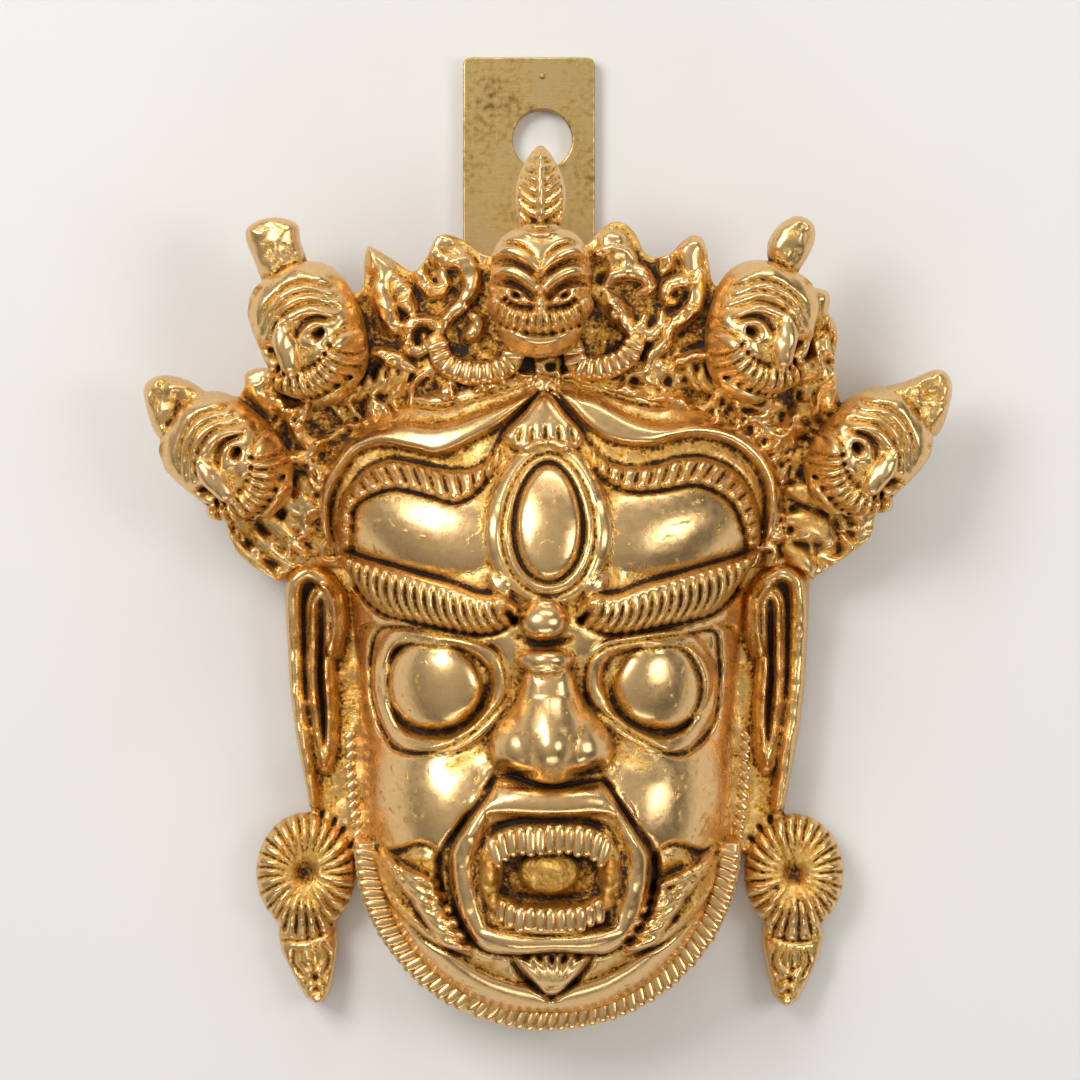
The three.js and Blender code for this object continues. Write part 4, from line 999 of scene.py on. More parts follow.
GUM = np.array([(-7.4, -3), (-5.4, -4.7), (-2.8, -5.6), (0, -5.9), (2.8, -5.6), (5.4, -4.7), (7.4, -3)])
look.stroke(GUM, 2.0, 2.1, (0.7, 0.7))
GRIN = 13
run = smooth(GUM)
for n in range(1, GRIN):
    at = run[int(n * (len(run) - 1) / GRIN)]
    down = np.array([at[0] * 0.09, -1.0])
    look.groove([at - down * 1.5, at, at + down * 1.5], 0.4, 1.3, (0.9, 0.9))
look.groove(GUM + (0, 1.9), 0.4, 0.5)
look.groove(GUM * (0.96, 1) - (0, 1.9), 0.42, 0.7)
look.groove(GUM * (0.7, 1) - (0, 4.3), 0.4, 0.4)
look.stroke(GUM * (0.76, 1.1) - (0, 2.9), 1.2, 0.5)
LOOK = look.soften()
print("middle face drawn,", GRIN, "teeth")

# %% A side skull's face
side_look = Sheet((-10, -13), (10, 12), 0.2)
for rise in (0, 1.7, 3.4):
    side_look.groove([(-4.6, 0.6 + rise), (-2, 2.6 + rise), (1.4, 3.8 + rise), (4.6, 3.4 + rise),
                      (7.4, 1 + rise)], 0.36, 0.75, (0.3, 0.5))
side_look.stroke([(-1.6, 2.4), (1.2, 2.7), (4.4, 2.3), (7, 0)], 0.9, 0.7)
side_look.groove([(-0.4, -1.4), (1.6, 0.7), (4.2, 1.2), (6.6, -0.4)], 0.5, 0.9, (0.4, 0.3))
side_look.swell((3.7, -1.3), (2.7, 2), 0.7)
side_look.groove([(3.5, -1.4), (4, -1.3)], 0.75, 2.6, (1, 1))
side_look.groove([(-6.2, 0.2), (-4.8, -1), (-4.6, -2.6)], 1.0, 1.6)
side_look.stroke([(-0.8, 2.6), (-1.6, -1), (-2.2, -4.4)], 2.0, 1.9, (0.4, 0.8))
side_look.swell((4.6, -4.4), (3.4, 2), 0.8)
GUM_LOW = [(-7.4, -4.2), (-5.2, -6.4), (-2.6, -7.5), (0, -7.8), (2.6, -7.5), (5.2, -6.4), (7.4, -4.2)]
side_look.stroke(GUM_LOW, 2.3, 1.6, (0.7, 0.7))
SIDE_GRIN = 11
run = smooth(GUM_LOW)
for n in range(1, SIDE_GRIN):
    at = run[int(n * (len(run) - 1) / SIDE_GRIN)]
    down = np.array([at[0] * 0.12, -1.0])
    side_look.groove([at - down * 1.9, at, at + down * 1.9], 0.34, 1.1, (0.9, 0.9))
side_look.groove([(x, y + 2.2) for x, y in GUM_LOW], 0.34, 0.4)
side_look.groove([(x * 0.95, y - 2.2) for x, y in GUM_LOW], 0.4, 0.8)
side_look.swell((0.6, -11.4), (4.6, 2.2), 1.0)
side_look.height += 0.12 * side_look.sand
SIDE_LOOK = side_look.soften()
print("side face drawn,", SIDE_GRIN, "teeth")

# %% The middle topknot's veins
knot_look = Sheet((-6, -8), (6, 8), 0.2)
knot_look.stroke([(0, -7), (0, 6.4)], 0.6, 0.5)
for y in np.arange(-6, 6.4, 1.7):
    for side in (-1, 1):
        knot_look.groove([(side * 0.8, y), (side * 2, y + 0.6), (side * 3.4, y + 1.9)], 0.4, 0.9, (0.8, 0.3))
KNOT = knot_look.soften()
print("leaf veins up to", round(float(knot_look.height.max()), 2), "mm")

# %% A skull's field
def blocky(p, centre, radii):
    """A rounded lump with flatter sides than a ball."""
    q = sum(np.abs((p[k] - centre[k]) / radii[k]) ** 2.5 for k in range(3))
    return (q ** 0.4 - 1) * 0.88 * min(radii)


def skull_field(p, knot_half, knot_long, near):
    """The middle skull with its topknot, or a side skull whose near eye is on the side given."""
    w = SKULL_HALF
    f = blocky(p, (0, 0.2 * w, 0), (w, 1.05 * w, 0.86 * w))
    f = meet(f, blocky(p, (0, -0.56 * w, 0.1 * w), (0.84 * w, 0.82 * w, 0.76 * w)), 2.4)
    if not knot_half:
        return f - look.read(SIDE_LOOK, near * p[0], p[1] + 0.3) * np.clip(p[2] / 1.5, 0, 1)
    f = f - look.read(LOOK, p[0], p[1]) * np.clip(p[2] / 1.5, 0, 1)
    knot_y = 1.2 * w + 0.42 * knot_long
    t = (p[1] - knot_y) / (0.58 * knot_long)
    slim = 1 - 0.1 * t - 0.3 * np.clip(t, 0, 1) ** 2
    knot = ball((p[0] / np.maximum(slim, 0.4), p[1], p[2]), (0, knot_y, -0.06 * w),
                (knot_half, 0.58 * knot_long, 0.9 * knot_half))
    knot = knot - knot_look.read(KNOT, p[0], (p[1] - knot_y) * 12 / knot_long) * np.clip(p[2], 0, 1)
    return meet(f, knot, 0.8)


print("skull is", round(2 * SKULL_HALF, 1), "mm wide")

# %% Five skulls on the fan
SKULLS = [((-1.2, 41.6), 0, 0, 4.2, 1, (4.1, 13.4)), ((-39.3, 35.2), 24, -22, 2.6, 1.06, (0, 0)),
          ((35, 35.6), -18, 22, 2.6, 1.04, (0, 0)), ((-53.6, 14.6), 52, -20, 2.0, 1.04, (0, 0)),
          ((53.4, 15.4), -46, 18, 2.0, 1.02, (0, 0))]
for (x, y), lean, yaw, lift, size, knot in SKULLS:
    place = Matrix.Translation((x, y, float(crown_fan(np.array(x), np.array(y))) + lift)) \
        @ Matrix.Rotation(math.radians(lean), 4, "Z") @ Matrix.Rotation(math.radians(yaw), 4, "Y")
    back = np.array(place.inverted())
    middle = np.array(place @ Vector((0, 0.3 * SKULL_HALF + 0.3 * knot[1], 0)))

    def placed_skull(p):
        local = [(a * p[0] + b * p[1] + c * p[2] + d) / size for a, b, c, d in back[:3]]
        return size * skull_field(local, *knot, -1 if yaw > 0 else 1)
    crown.join([middle], 15 + 0.6 * knot[1], placed_skull, 0.7)
print(len(SKULLS), "skulls set")
for (x, y), *_, knot in SKULLS:
    skull_top = np.hypot(X - x, (Y - y - 0.6 * knot[1]) / (1 + 0.07 * knot[1])) < 10
    ground.dark[skull_top] = 0.08
crown_piece = cast("mask_crown", crown, CROWN_MOST)

# %% [markdown]
# ## Ears and earrings
# Each ear is a thin curved plate with a hooked rim, and in it a long inner fold round a deep slit. Its
# lobe carries a round earring, a dome with a sunk middle whose petals are cut a little unevenly, and a
# leaf hangs below that. The plates are plain fields. The rim, the fold, the petals and the leaf's veins
# are drawn on one sheet for each side, because the two sides differ a little.

# %% Where an ear's forms lie
EAR_OUT = [(-53, 6.6), (-44, 7), (-38.6, 7.5), (-33.7, 7.8), (-26, 7.6), (-16, 6.5), (-10, 5.8), (-3, 5),
           (3, 4)]
EAR_BACK, EAR_FRONT = 1.5, 4.8
EAR_HOOK = [(-35.9, -18.5), (-35.1, -15.4), (-34.9, -11.8), (-35.7, -8.4), (-37.8, -6.1), (-40.3, -5.1),
            (-42.4, -6.7), (-42.9, -10.8), (-42.7, -18.2), (-42.3, -25), (-41.3, -33), (-40.4, -39),
            (-39.6, -44), (-39.4, -47)]
EAR_FOLD = [(-38, -8.1), (-39.5, -9.8), (-39.8, -13.8), (-39.7, -23.7), (-39, -31.6), (-37.8, -37.9),
            (-36.6, -35.1), (-36.4, -27.6), (-36.9, -19.7), (-36.5, -13.8), (-36.6, -10)]
EAR_PIT = [(-38.2, -12.3), (-38, -17.7), (-38.5, -23.7), (-37.7, -29.6), (-37.9, -34.5)]
EARRINGS = {-1: ((-40.8, -55.8), (-38.6, -77.8), 5.4), 1: ((41.6, -56), (40.2, -78.2), 5.6)}
EARRING_RADIUS, EARRING_TALL = 8.4, 1.2
PETALS = 25
print("ear reaches from y", EAR_HOOK[4][1], "to", EAR_HOOK[-1][1], "mm, with", PETALS, "petals below")

# %% The drawing for one side
def ear_drawing(side):
    """The sheet for one ear, its earring and its leaf."""
    sheet = Sheet((-52, -84), (-27, 8)) if side < 0 else Sheet((27, -84), (52, 8))

    def here(route):
        return [(x if side < 0 else -0.6 - x, y) for x, y in route]
    sheet.height += 0.22 * sheet.sand + 0.3 * sheet.clouds(3, 22)
    sheet.dark += 0.35
    sheet.pillow(here(EAR_FOLD), 1.3, 0.8)
    sheet.stroke(here(EAR_HOOK), 1.6, 3.2, (0.8, 0.7))
    sheet.stroke(here(EAR_FOLD), 1.15, 1.9, closed=True)
    sheet.stroke(here([(-39.4, -11), (-39.8, -22), (-38.6, -34)]), 1.0, 0.9)
    sheet.groove(here(EAR_PIT), 0.65, 1.3)
    sheet.dark *= 1 - 0.5 * np.clip((sheet.height - 1.6) / 1.2, 0, 1)
    (cx, cy), (tx, ty), leaf = EARRINGS[side]
    X, Y = np.meshgrid(sheet.xs, sheet.ys, indexing="ij")
    sheet.dark[Y < cy] = 0.16
    round_it = np.hypot(X - cx, (Y - cy) / EARRING_TALL) < EARRING_RADIUS + 1
    sheet.height[round_it] = 0.1 * sheet.sand[round_it]
    sheet.dark[round_it] = 0.12
    jitter = np.random.default_rng(40 + side).uniform(-1, 1, (PETALS, 3))
    for k, (a, b, c) in enumerate(jitter):
        turn = 2 * math.pi * (k + 0.16 * a) / PETALS
        way = np.array([math.cos(turn), EARRING_TALL * math.sin(turn)])
        bend = np.array([-math.sin(turn), math.cos(turn)]) * (0.5 + 0.3 * c) * side
        start = np.array([cx, cy]) + way * (1.8 + 0.4 * b)
        stop = np.array([cx, cy]) + way * (EARRING_RADIUS + 0.6)
        sheet.groove([start, (start + stop) / 2 + bend * 0.6, stop], 0.34, 1.15, (0.5, 1.0))
    top = np.array([cx, cy - EARRING_RADIUS * EARRING_TALL + 1])
    down = (np.array([tx, ty]) - top) / np.linalg.norm(np.array([tx, ty]) - top)
    out = np.array([-down[1], down[0]])
    marks = [[(-4.4, 1.6), (0, 2.2), (4.4, 1.4)], [(-2.6, 3.6), (-3.0, 6), (-1.4, 8.4)],
             [(2.4, 3.4), (3, 5.8), (1.6, 8.6)], [(0, 3.6), (0.2, 7), (0, 11.4)],
             [(-1.2, 3.4), (-1.6, 5.4), (-0.6, 7)], [(1.2, 3.4), (1.7, 5.2), (0.7, 7)],
             [(-1.9, 9.4), (0, 8.6), (1.8, 9.6)], [(-1.2, 11.4), (0, 10.6), (1.2, 11.6)]]
    for route in marks:
        sheet.groove([tuple(top + out * a * leaf / 5.4 + down * b) for a, b in route], 0.36, 0.9, (0.7, 0.5))
    return sheet


print("leaf is", 2 * EARRINGS[-1][2], "mm wide")

# %% An ear, its earring and the leaf
def ear_piece(side):
    """The block of one ear and the object cast from it."""
    low, high = (-51, -80.5, 0.5), (-28, 5, 11.5)
    block = Casting(low, high) if side < 0 else Casting((28, low[1], low[2]), (52, high[1], high[2]))
    p = block.grid()
    x, y = p[0] * side, p[1]
    sheet = block.paint = ear_drawing(side)
    relief = sheet.read(sheet.soften(), *np.meshgrid(block.axes[0], block.axes[1], indexing="ij"))[:, :, None]
    keys = np.array(EAR_OUT)
    edge = half_width(y) + through(keys[:, 0], keys[:, 1], y)
    sides = np.maximum(x - edge, np.maximum(face_half(y) - 2.2 - x, np.maximum(-53 - y, y - 3)))
    front = EAR_FRONT + 1.8 * np.clip((y + 18) / 12, 0, 1) - 3 * np.clip((y + 4) / 3, 0, 1)
    block.field = (-meet(-sides, -np.maximum((p[2] - front - relief) * 0.85, EAR_BACK - p[2]),
                         1.0)).astype(np.float32)
    (cx, cy), (tx, ty), leaf = EARRINGS[side]
    r = np.hypot(p[0] - cx, (p[1] - cy) / EARRING_TALL)
    dome = through(np.array([0, 0.1, 0.22, 0.45, 0.75, 0.92, 1.1]),
                   np.array([4.6, 5.0, 6.9, 7.6, 7.2, 6.1, 4.6]),
                   r / EARRING_RADIUS) + relief
    disc = -meet(-(r - EARRING_RADIUS), -np.maximum((p[2] - dome) * 0.85, 1.5 - p[2]), 0.9)
    block.field = meet(block.field, disc, 0.4)
    top, tip = np.array([cx, cy - EARRING_RADIUS * EARRING_TALL + 1]), np.array([tx, ty])
    long = np.linalg.norm(tip - top)
    down = (tip - top) / long
    s = ((p[0] - top[0]) * down[0] + (p[1] - top[1]) * down[1]) / long
    off = (p[0] - top[0]) * -down[1] + (p[1] - top[1]) * down[0]
    half = leaf * np.interp(s, [-0.1, 0.05, 0.3, 0.65, 0.9, 1], [0.8, 0.92, 0.88, 0.62, 0.4, 0.14])
    plump = 6.7 - 2.4 * (off / np.maximum(half, 0.3)) ** 2 + relief
    body = np.maximum(np.abs(off) - half, np.maximum((s - 1) * long, -s * long - 2))
    leaf_field = -meet(-body, -np.maximum((p[2] - plump) * 0.8, 1.6 - p[2]), 0.8)
    block.field = meet(block.field, leaf_field, 0.4).astype(np.float32)
    return block, cast("mask_ear_left" if side < 0 else "mask_ear_right", block, EAR_MOST)


ear_blocks = {side: ear_piece(side) for side in (-1, 1)}

# %% [markdown]
# ## What repeats: teeth, roping and ribs
# A sculptor rolls small lengths of wax and sets them side by side: teeth along the gums, strands round
# the beard, a plait of hair behind each cheek, ribs on the festoons. Here Geometry Nodes set one small
# rounded bar on a row of guide points. Each guide carries the bar's size, its direction and the way out
# of the surface. Each bar also carries how high each of its points stands, so that the patina stays
# between the bars.

# %% One blunt bar
BLUNT = (0.6, 0.75, 0.85)  # along its length, width and height: 1 is round, and less is squarer


def blunt_bar(tree):
    """The nodes that make one bar, which keeps how high each of its points stands."""
    add, wire = tree.nodes.new, tree.links.new
    bar = add("GeometryNodeMeshUVSphere")
    for label, value in (("Segments", 10), ("Rings", 7), ("Radius", 1.0)):
        bar.inputs[label].default_value = value
    far, sign, blunt, full = (add("ShaderNodeVectorMath") for _ in range(4))
    for node, kind in ((far, "ABSOLUTE"), (sign, "SIGN"), (blunt, "POWER"), (full, "MULTIPLY")):
        node.operation = kind
    blunt.inputs[1].default_value = BLUNT
    raw, shaped = add("GeometryNodeInputPosition"), add("GeometryNodeSetPosition")
    wire(raw.outputs[0], far.inputs[0])
    wire(raw.outputs[0], sign.inputs[0])
    wire(far.outputs[0], blunt.inputs[0])
    wire(blunt.outputs[0], full.inputs[0])
    wire(sign.outputs[0], full.inputs[1])
    wire(full.outputs[0], shaped.inputs["Position"])
    wire(bar.outputs["Mesh"], shaped.inputs["Geometry"])
    place, split = add("GeometryNodeInputPosition"), add("ShaderNodeSeparateXYZ")
    level = add("ShaderNodeMapRange")
    wire(place.outputs[0], split.inputs[0])
    wire(split.outputs["Z"], level.inputs["Value"])
    for label, value in (("From Min", -0.1), ("From Max", 0.85), ("To Min", 0.8), ("To Max", 0.3)):
        level.inputs[label].default_value = value
    fine, wide = add("GeometryNodeStoreNamedAttribute"), add("GeometryNodeStoreNamedAttribute")
    fine.inputs["Name"].default_value = "fine_hollow"
    wide.inputs["Name"].default_value = "wide_hollow"
    wide.inputs["Value"].default_value = 0.5
    wire(shaped.outputs["Geometry"], fine.inputs["Geometry"])
    wire(level.outputs["Result"], fine.inputs["Value"])
    wire(fine.outputs["Geometry"], wide.inputs["Geometry"])
    return wide.outputs["Geometry"]


print("a blunt bar is a ball with its numbers raised to", BLUNT)

# %% How each bar is turned and sized
def guide_value(tree, label):
    """What a guide carries under a name."""
    node = tree.nodes.new("GeometryNodeInputNamedAttribute")
    node.data_type = "FLOAT_VECTOR"
    node.inputs["Name"].default_value = label
    return node.outputs["Attribute"]


def turned(tree):
    """The turn that stands a bar out of the surface and lays it along its guide's way."""
    add, wire = tree.nodes.new, tree.links.new
    up, along = add("FunctionNodeAlignRotationToVector"), add("FunctionNodeAlignRotationToVector")
    up.axis = "Z"
    along.axis, along.pivot_axis = "X", "Z"
    wire(guide_value(tree, "out"), up.inputs["Vector"])
    wire(up.outputs["Rotation"], along.inputs["Rotation"])
    wire(guide_value(tree, "way"), along.inputs["Vector"])
    return along.outputs["Rotation"]


def sized(tree, unevenness):
    """The guide's size, a little larger or smaller by chance."""
    add, wire = tree.nodes.new, tree.links.new
    chance, least, most = add("FunctionNodeRandomValue"), add("ShaderNodeMath"), add("ShaderNodeMath")
    for node, kind, limit in ((least, "SUBTRACT", chance.inputs[2]), (most, "ADD", chance.inputs[3])):
        node.operation = kind
        node.inputs[0].default_value = 1.0
        wire(unevenness, node.inputs[1])
        wire(node.outputs[0], limit)
    chance.inputs["Seed"].default_value = 7
    size = add("ShaderNodeVectorMath")
    size.operation = "SCALE"
    wire(guide_value(tree, "bar_size"), size.inputs[0])
    wire(chance.outputs[1], size.inputs["Scale"])
    return size.outputs["Vector"]


UNEVEN = 0.06
print("a bar is between", 1 - UNEVEN, "and", 1 + UNEVEN, "of its size")

# %% The tree that sets bars on guide points
def bar_tree():
    tree = bpy.data.node_groups.new("bars on guides", "GeometryNodeTree")
    for label, way, kind in (("Guides", "INPUT", "Geometry"), ("Unevenness", "INPUT", "Float"),
                             ("Finish", "INPUT", "Material"), ("Bars", "OUTPUT", "Geometry")):
        tree.interface.new_socket(label, in_out=way, socket_type="NodeSocket" + kind)
    add, wire = tree.nodes.new, tree.links.new
    start, end = add("NodeGroupInput"), add("NodeGroupOutput")
    setter, shade = add("GeometryNodeInstanceOnPoints"), add("GeometryNodeSetShadeSmooth")
    real, paint = add("GeometryNodeRealizeInstances"), add("GeometryNodeSetMaterial")
    wire(start.outputs["Guides"], setter.inputs["Points"])
    wire(blunt_bar(tree), setter.inputs["Instance"])
    wire(turned(tree), setter.inputs["Rotation"])
    wire(sized(tree, start.outputs["Unevenness"]), setter.inputs["Scale"])
    wire(setter.outputs["Instances"], shade.inputs["Geometry"])
    wire(shade.outputs["Geometry"], real.inputs["Geometry"])
    wire(real.outputs["Geometry"], paint.inputs["Geometry"])
    wire(start.outputs["Finish"], paint.inputs["Material"])
    wire(paint.outputs["Geometry"], end.inputs["Bars"])
    return tree


BARS = bar_tree()
print("tree", BARS.name, len(BARS.nodes), "nodes")

# %% Bars as an object
def bars(name, guides, unevenness, finish):
    """A mesh of bars. A guide is (place, way out, way along, (half length, half width, height))."""
    mesh = bpy.data.meshes.new(name)
    mesh.from_pydata([tuple((np.array(g[0]) + SHIFT) * MM) for g in guides], [], [])
    for label, k, unit in (("out", 1, 1), ("way", 2, 1), ("bar_size", 3, MM)):
        attribute = mesh.attributes.new(label, "FLOAT_VECTOR", "POINT")
        attribute.data.foreach_set("vector", (np.array([g[k] for g in guides], np.float32) * unit).ravel())
    made = put(name, mesh)
    modifier = made.modifiers.new("bars", "NODES")
    modifier.node_group = BARS
    sockets = {s.name: s.identifier for s in BARS.interface.items_tree if s.in_out == "INPUT"}
    modifier[sockets["Unevenness"]] = unevenness
    modifier[sockets["Finish"]] = finish
    baked(made)
    print(name, len(guides), "bars,", len(made.data.polygons), "faces")
    return made


# %% [markdown]
# ## Brass, polished and patinated
# The foundry blackens the whole casting, then rubs it bright by hand, so the colour follows the
# relief: pale polished metal on what a cloth reaches, a granular dull gold beside it, and brown to
# black where it never did. The hollows measured above drive that mix, broken up a little by noise.

# %% The cast metal
def cast_metal():
    material = bpy.data.materials.new("hand_polished_cast_brass")
    material.use_nodes = True
    nodes, wire = material.node_tree.nodes, material.node_tree.links.new
    shader = nodes["Principled BSDF"]
    place = nodes.new("ShaderNodeTexCoord").outputs["Object"]

    def noise(scale, detail, rough=0.5):
        node = nodes.new("ShaderNodeTexNoise")
        node.inputs["Scale"].default_value = scale
        node.inputs["Detail"].default_value = detail
        node.inputs["Roughness"].default_value = rough
        wire(place, node.inputs["Vector"])
        return node.outputs["Fac"]

    def sums(kind, a, b, clamp=False):
        node = nodes.new("ShaderNodeMath")
        node.operation, node.use_clamp = kind, clamp
        for socket, value in zip(node.inputs, (a, b)):
            if isinstance(value, (int, float)):
                socket.default_value = value
            else:
                wire(value, socket)
        return node.outputs[0]

    def spread(value, low, high, to_low=0.0, to_high=1.0):
        node = nodes.new("ShaderNodeMapRange")
        wire(value, node.inputs["Value"])
        for label, number in (("From Min", low), ("From Max", high), ("To Min", to_low), ("To Max", to_high)):
            node.inputs[label].default_value = number
        return node.outputs["Result"]

    def attribute(label):
        node = nodes.new("ShaderNodeAttribute")
        node.attribute_name = label
        return node.outputs["Fac"]
    fine, wide = attribute("fine_hollow"), attribute("wide_hollow")
    blotch, grain = noise(260, 4), noise(1700, 4, 0.65)
    depth = sums("ADD", spread(fine, 0.52, 0.82, 0, 0.8), spread(wide, 0.5, 0.8, 0, 0.5))
    depth = sums("ADD", depth, spread(attribute("engraved"), 0.1, 1.0, 0, 0.36))
    depth = sums("MULTIPLY", depth, spread(blotch, 0.35, 0.62, 0.7, 1.12))
    speckle = sums("MULTIPLY", spread(grain, 0.34, 0.66, -0.3, 0.42), spread(depth, 0.08, 0.4, 0.12, 1.0))
    depth = sums("ADD", depth, speckle, clamp=True)
    tone = nodes.new("ShaderNodeValToRGB")
    wire(depth, tone.inputs["Fac"])
    stops = ((0.0, (0.82, 0.54, 0.25)), (0.14, (0.79, 0.48, 0.14)), (0.34, (0.64, 0.34, 0.05)),
             (0.62, (0.24, 0.095, 0.018)), (0.86, (0.028, 0.012, 0.008)))
    ramp = tone.color_ramp
    while len(ramp.elements) < len(stops):
        ramp.elements.new(0.5)
    for element, (at, colour) in zip(ramp.elements, stops):
        element.position, element.color = at, (*colour, 1)
    wire(tone.outputs["Color"], shader.inputs["Base Color"])
    wire(spread(depth, 0.4, 0.9, 1.0, 0.35), shader.inputs["Metallic"])
    gloss = sums("ADD", spread(depth, 0.05, 0.6, 0.27, 0.6), spread(noise(700, 3), 0.3, 0.7, -0.04, 0.06))
    wire(gloss, shader.inputs["Roughness"])
    bump = nodes.new("ShaderNodeBump")
    bump.inputs["Strength"].default_value = 0.5
    bump.inputs["Distance"].default_value = 0.0002
    wave = sums("MULTIPLY", noise(1700, 5, 0.7), spread(depth, 0.05, 0.35, 0.12, 1.9))
    wire(sums("ADD", wave, sums("MULTIPLY", noise(330, 2), 0.9)), bump.inputs["Height"])
    wire(bump.outputs["Normal"], shader.inputs["Normal"])
    return material


CAST = cast_metal()
print("finish", CAST.name, len(CAST.node_tree.nodes), "nodes")

# %% Guides in a row across a line
def unit(v):
    v = np.asarray(v, float)
    return v / (np.linalg.norm(v) + 1e-9)


def row(line, count, ends=(0.0, 1.0)):
    """Places and directions along a line, evenly spaced."""
    line = np.asarray(line)
    run = np.concatenate([[0], np.cumsum(np.hypot(*np.diff(line, axis=0).T))])
    at = (ends[0] + (ends[1] - ends[0]) * (np.arange(count) + 0.5) / count) * run[-1]
    here = np.stack([np.interp(at, run, line[:, k]) for k in (0, 1)], 1)
    ahead = np.stack([np.interp(at + 0.2, run, line[:, k]) for k in (0, 1)], 1)
    behind = np.stack([np.interp(at - 0.2, run, line[:, k]) for k in (0, 1)], 1)
    return zip(here, ahead - behind)


def bar_row(block, line, count, size, sink, slant=0.0, lift=0.0, upright=0.0):
    """Guides for a row of bars laid across a line on a casting."""
    guides = []
    for (x, y), way in row(line, count):
        place, out = block.top(x, y)
        along = unit(way)
        across = unit((-along[1], along[0])) * (1 - upright) + np.array([0, 1]) * upright
        across = unit(across + slant * along)
        guides.append((place - out * sink, unit(out + [0, 0, lift]), (*across, 0), size))
    return guides


print("a row of 3 on a line:", [tuple(np.round(at, 1)) for at, _ in row([(0, 0), (6, 0)], 3)])

# %% Teeth, rope strands, plaits and festoon ribs
UPPER_TEETH, LOWER_TEETH, STRANDS, PLAIT, RIBS = 13, 11, 54, 12, 10
UPPER = smooth([(-9.2, -50.6), (-6, -48.6), (0.4, -48), (6.6, -48.6), (9.8, -50.6)])
LOWER = smooth([(-8.4, -59.6), (-5, -60.9), (0.4, -61.2), (5.8, -60.9), (9.2, -59.6)])
guides = bar_row(head, UPPER, UPPER_TEETH, (2.5, 0.92, 0.9), 0.3, lift=0.8, upright=0.6)
guides += bar_row(head, LOWER, LOWER_TEETH, (2.1, 0.95, 0.9), 0.3, lift=0.8, upright=0.6)
CREST = (ROPE_LINE - (0, JAW_Y)) * 0.98 + (0, JAW_Y)
guides += bar_row(head, CREST, STRANDS, (2.3, 0.95, 1.0), 0.45, slant=0.3)
for side in (-1, 1):
    plait = smooth([(side * 33.4, -32), (side * 33, -42), (side * 32.2, -48), (side * 31.6, -52)])
    guides += bar_row(ear_blocks[side][0], plait, PLAIT, (1.2, 0.8, 0.6), 0.25, slant=side * 0.9)
head_bars = bars("teeth_and_rope", guides, UNEVEN, CAST)
guides = []
for route in FESTOONS:
    guides += bar_row(crown, smooth(route), RIBS, (1.9, 0.72, 0.95), 0.25)
crown_bars = bars("festoon_ribs", guides, UNEVEN, CAST)

# %% [markdown]
# ## The hanging bar
# The bar is plain strip brass, sawn, filed and drilled, with its corners just broken. It is drawn as
# a flat outline with a hole, thickened, with a small bevel all round as a file leaves it. A pimple of
# metal near its upper end is left standing, as on the real bar.

# %% The bar and its finish
def bar_metal():
    material = bpy.data.materials.new("filed_strip_brass")
    material.use_nodes = True
    nodes, wire = material.node_tree.nodes, material.node_tree.links.new
    shader = nodes["Principled BSDF"]
    shader.inputs["Metallic"].default_value = 1.0
    place = nodes.new("ShaderNodeTexCoord").outputs["Object"]
    stretch = nodes.new("ShaderNodeMapping")
    stretch.inputs["Scale"].default_value = (900, 9000, 900)
    stretch.inputs["Rotation"].default_value = (0, 0, 0.25)
    wire(place, stretch.inputs["Vector"])
    files, stain, spots = (nodes.new("ShaderNodeTexNoise") for _ in range(3))
    wire(stretch.outputs["Vector"], files.inputs["Vector"])
    files.inputs["Scale"].default_value = 0.6
    for node, scale, detail in ((stain, 90, 7), (spots, 900, 5)):
        node.inputs["Scale"].default_value = scale
        node.inputs["Detail"].default_value = detail
        wire(place, node.inputs["Vector"])
    both = nodes.new("ShaderNodeMath")
    both.operation = "MULTIPLY"
    wire(stain.outputs["Fac"], both.inputs[0])
    wire(spots.outputs["Fac"], both.inputs[1])
    tone = nodes.new("ShaderNodeValToRGB")
    wire(both.outputs[0], tone.inputs["Fac"])
    ramp = tone.color_ramp
    ramp.elements.new(0.5)
    ramp.elements.new(0.5)
    stops = ((0.12, (0.70, 0.52, 0.24)), (0.25, (0.56, 0.39, 0.15)), (0.36, (0.38, 0.25, 0.085)),
             (0.5, (0.16, 0.095, 0.035)))
    for element, (at, colour) in zip(ramp.elements, stops):
        element.position, element.color = at, (*colour, 1)
    wire(tone.outputs["Color"], shader.inputs["Base Color"])
    rough = nodes.new("ShaderNodeMapRange")
    for label, number in (("From Min", 0.15), ("From Max", 0.4), ("To Min", 0.34), ("To Max", 0.62)):
        rough.inputs[label].default_value = number
    wire(both.outputs[0], rough.inputs["Value"])
    wire(rough.outputs["Result"], shader.inputs["Roughness"])
    bump = nodes.new("ShaderNodeBump")
    bump.inputs["Strength"].default_value = 0.3
    bump.inputs["Distance"].default_value = 0.0001
    wire(files.outputs["Fac"], bump.inputs["Height"])
    wire(bump.outputs["Normal"], shader.inputs["Normal"])
    return material


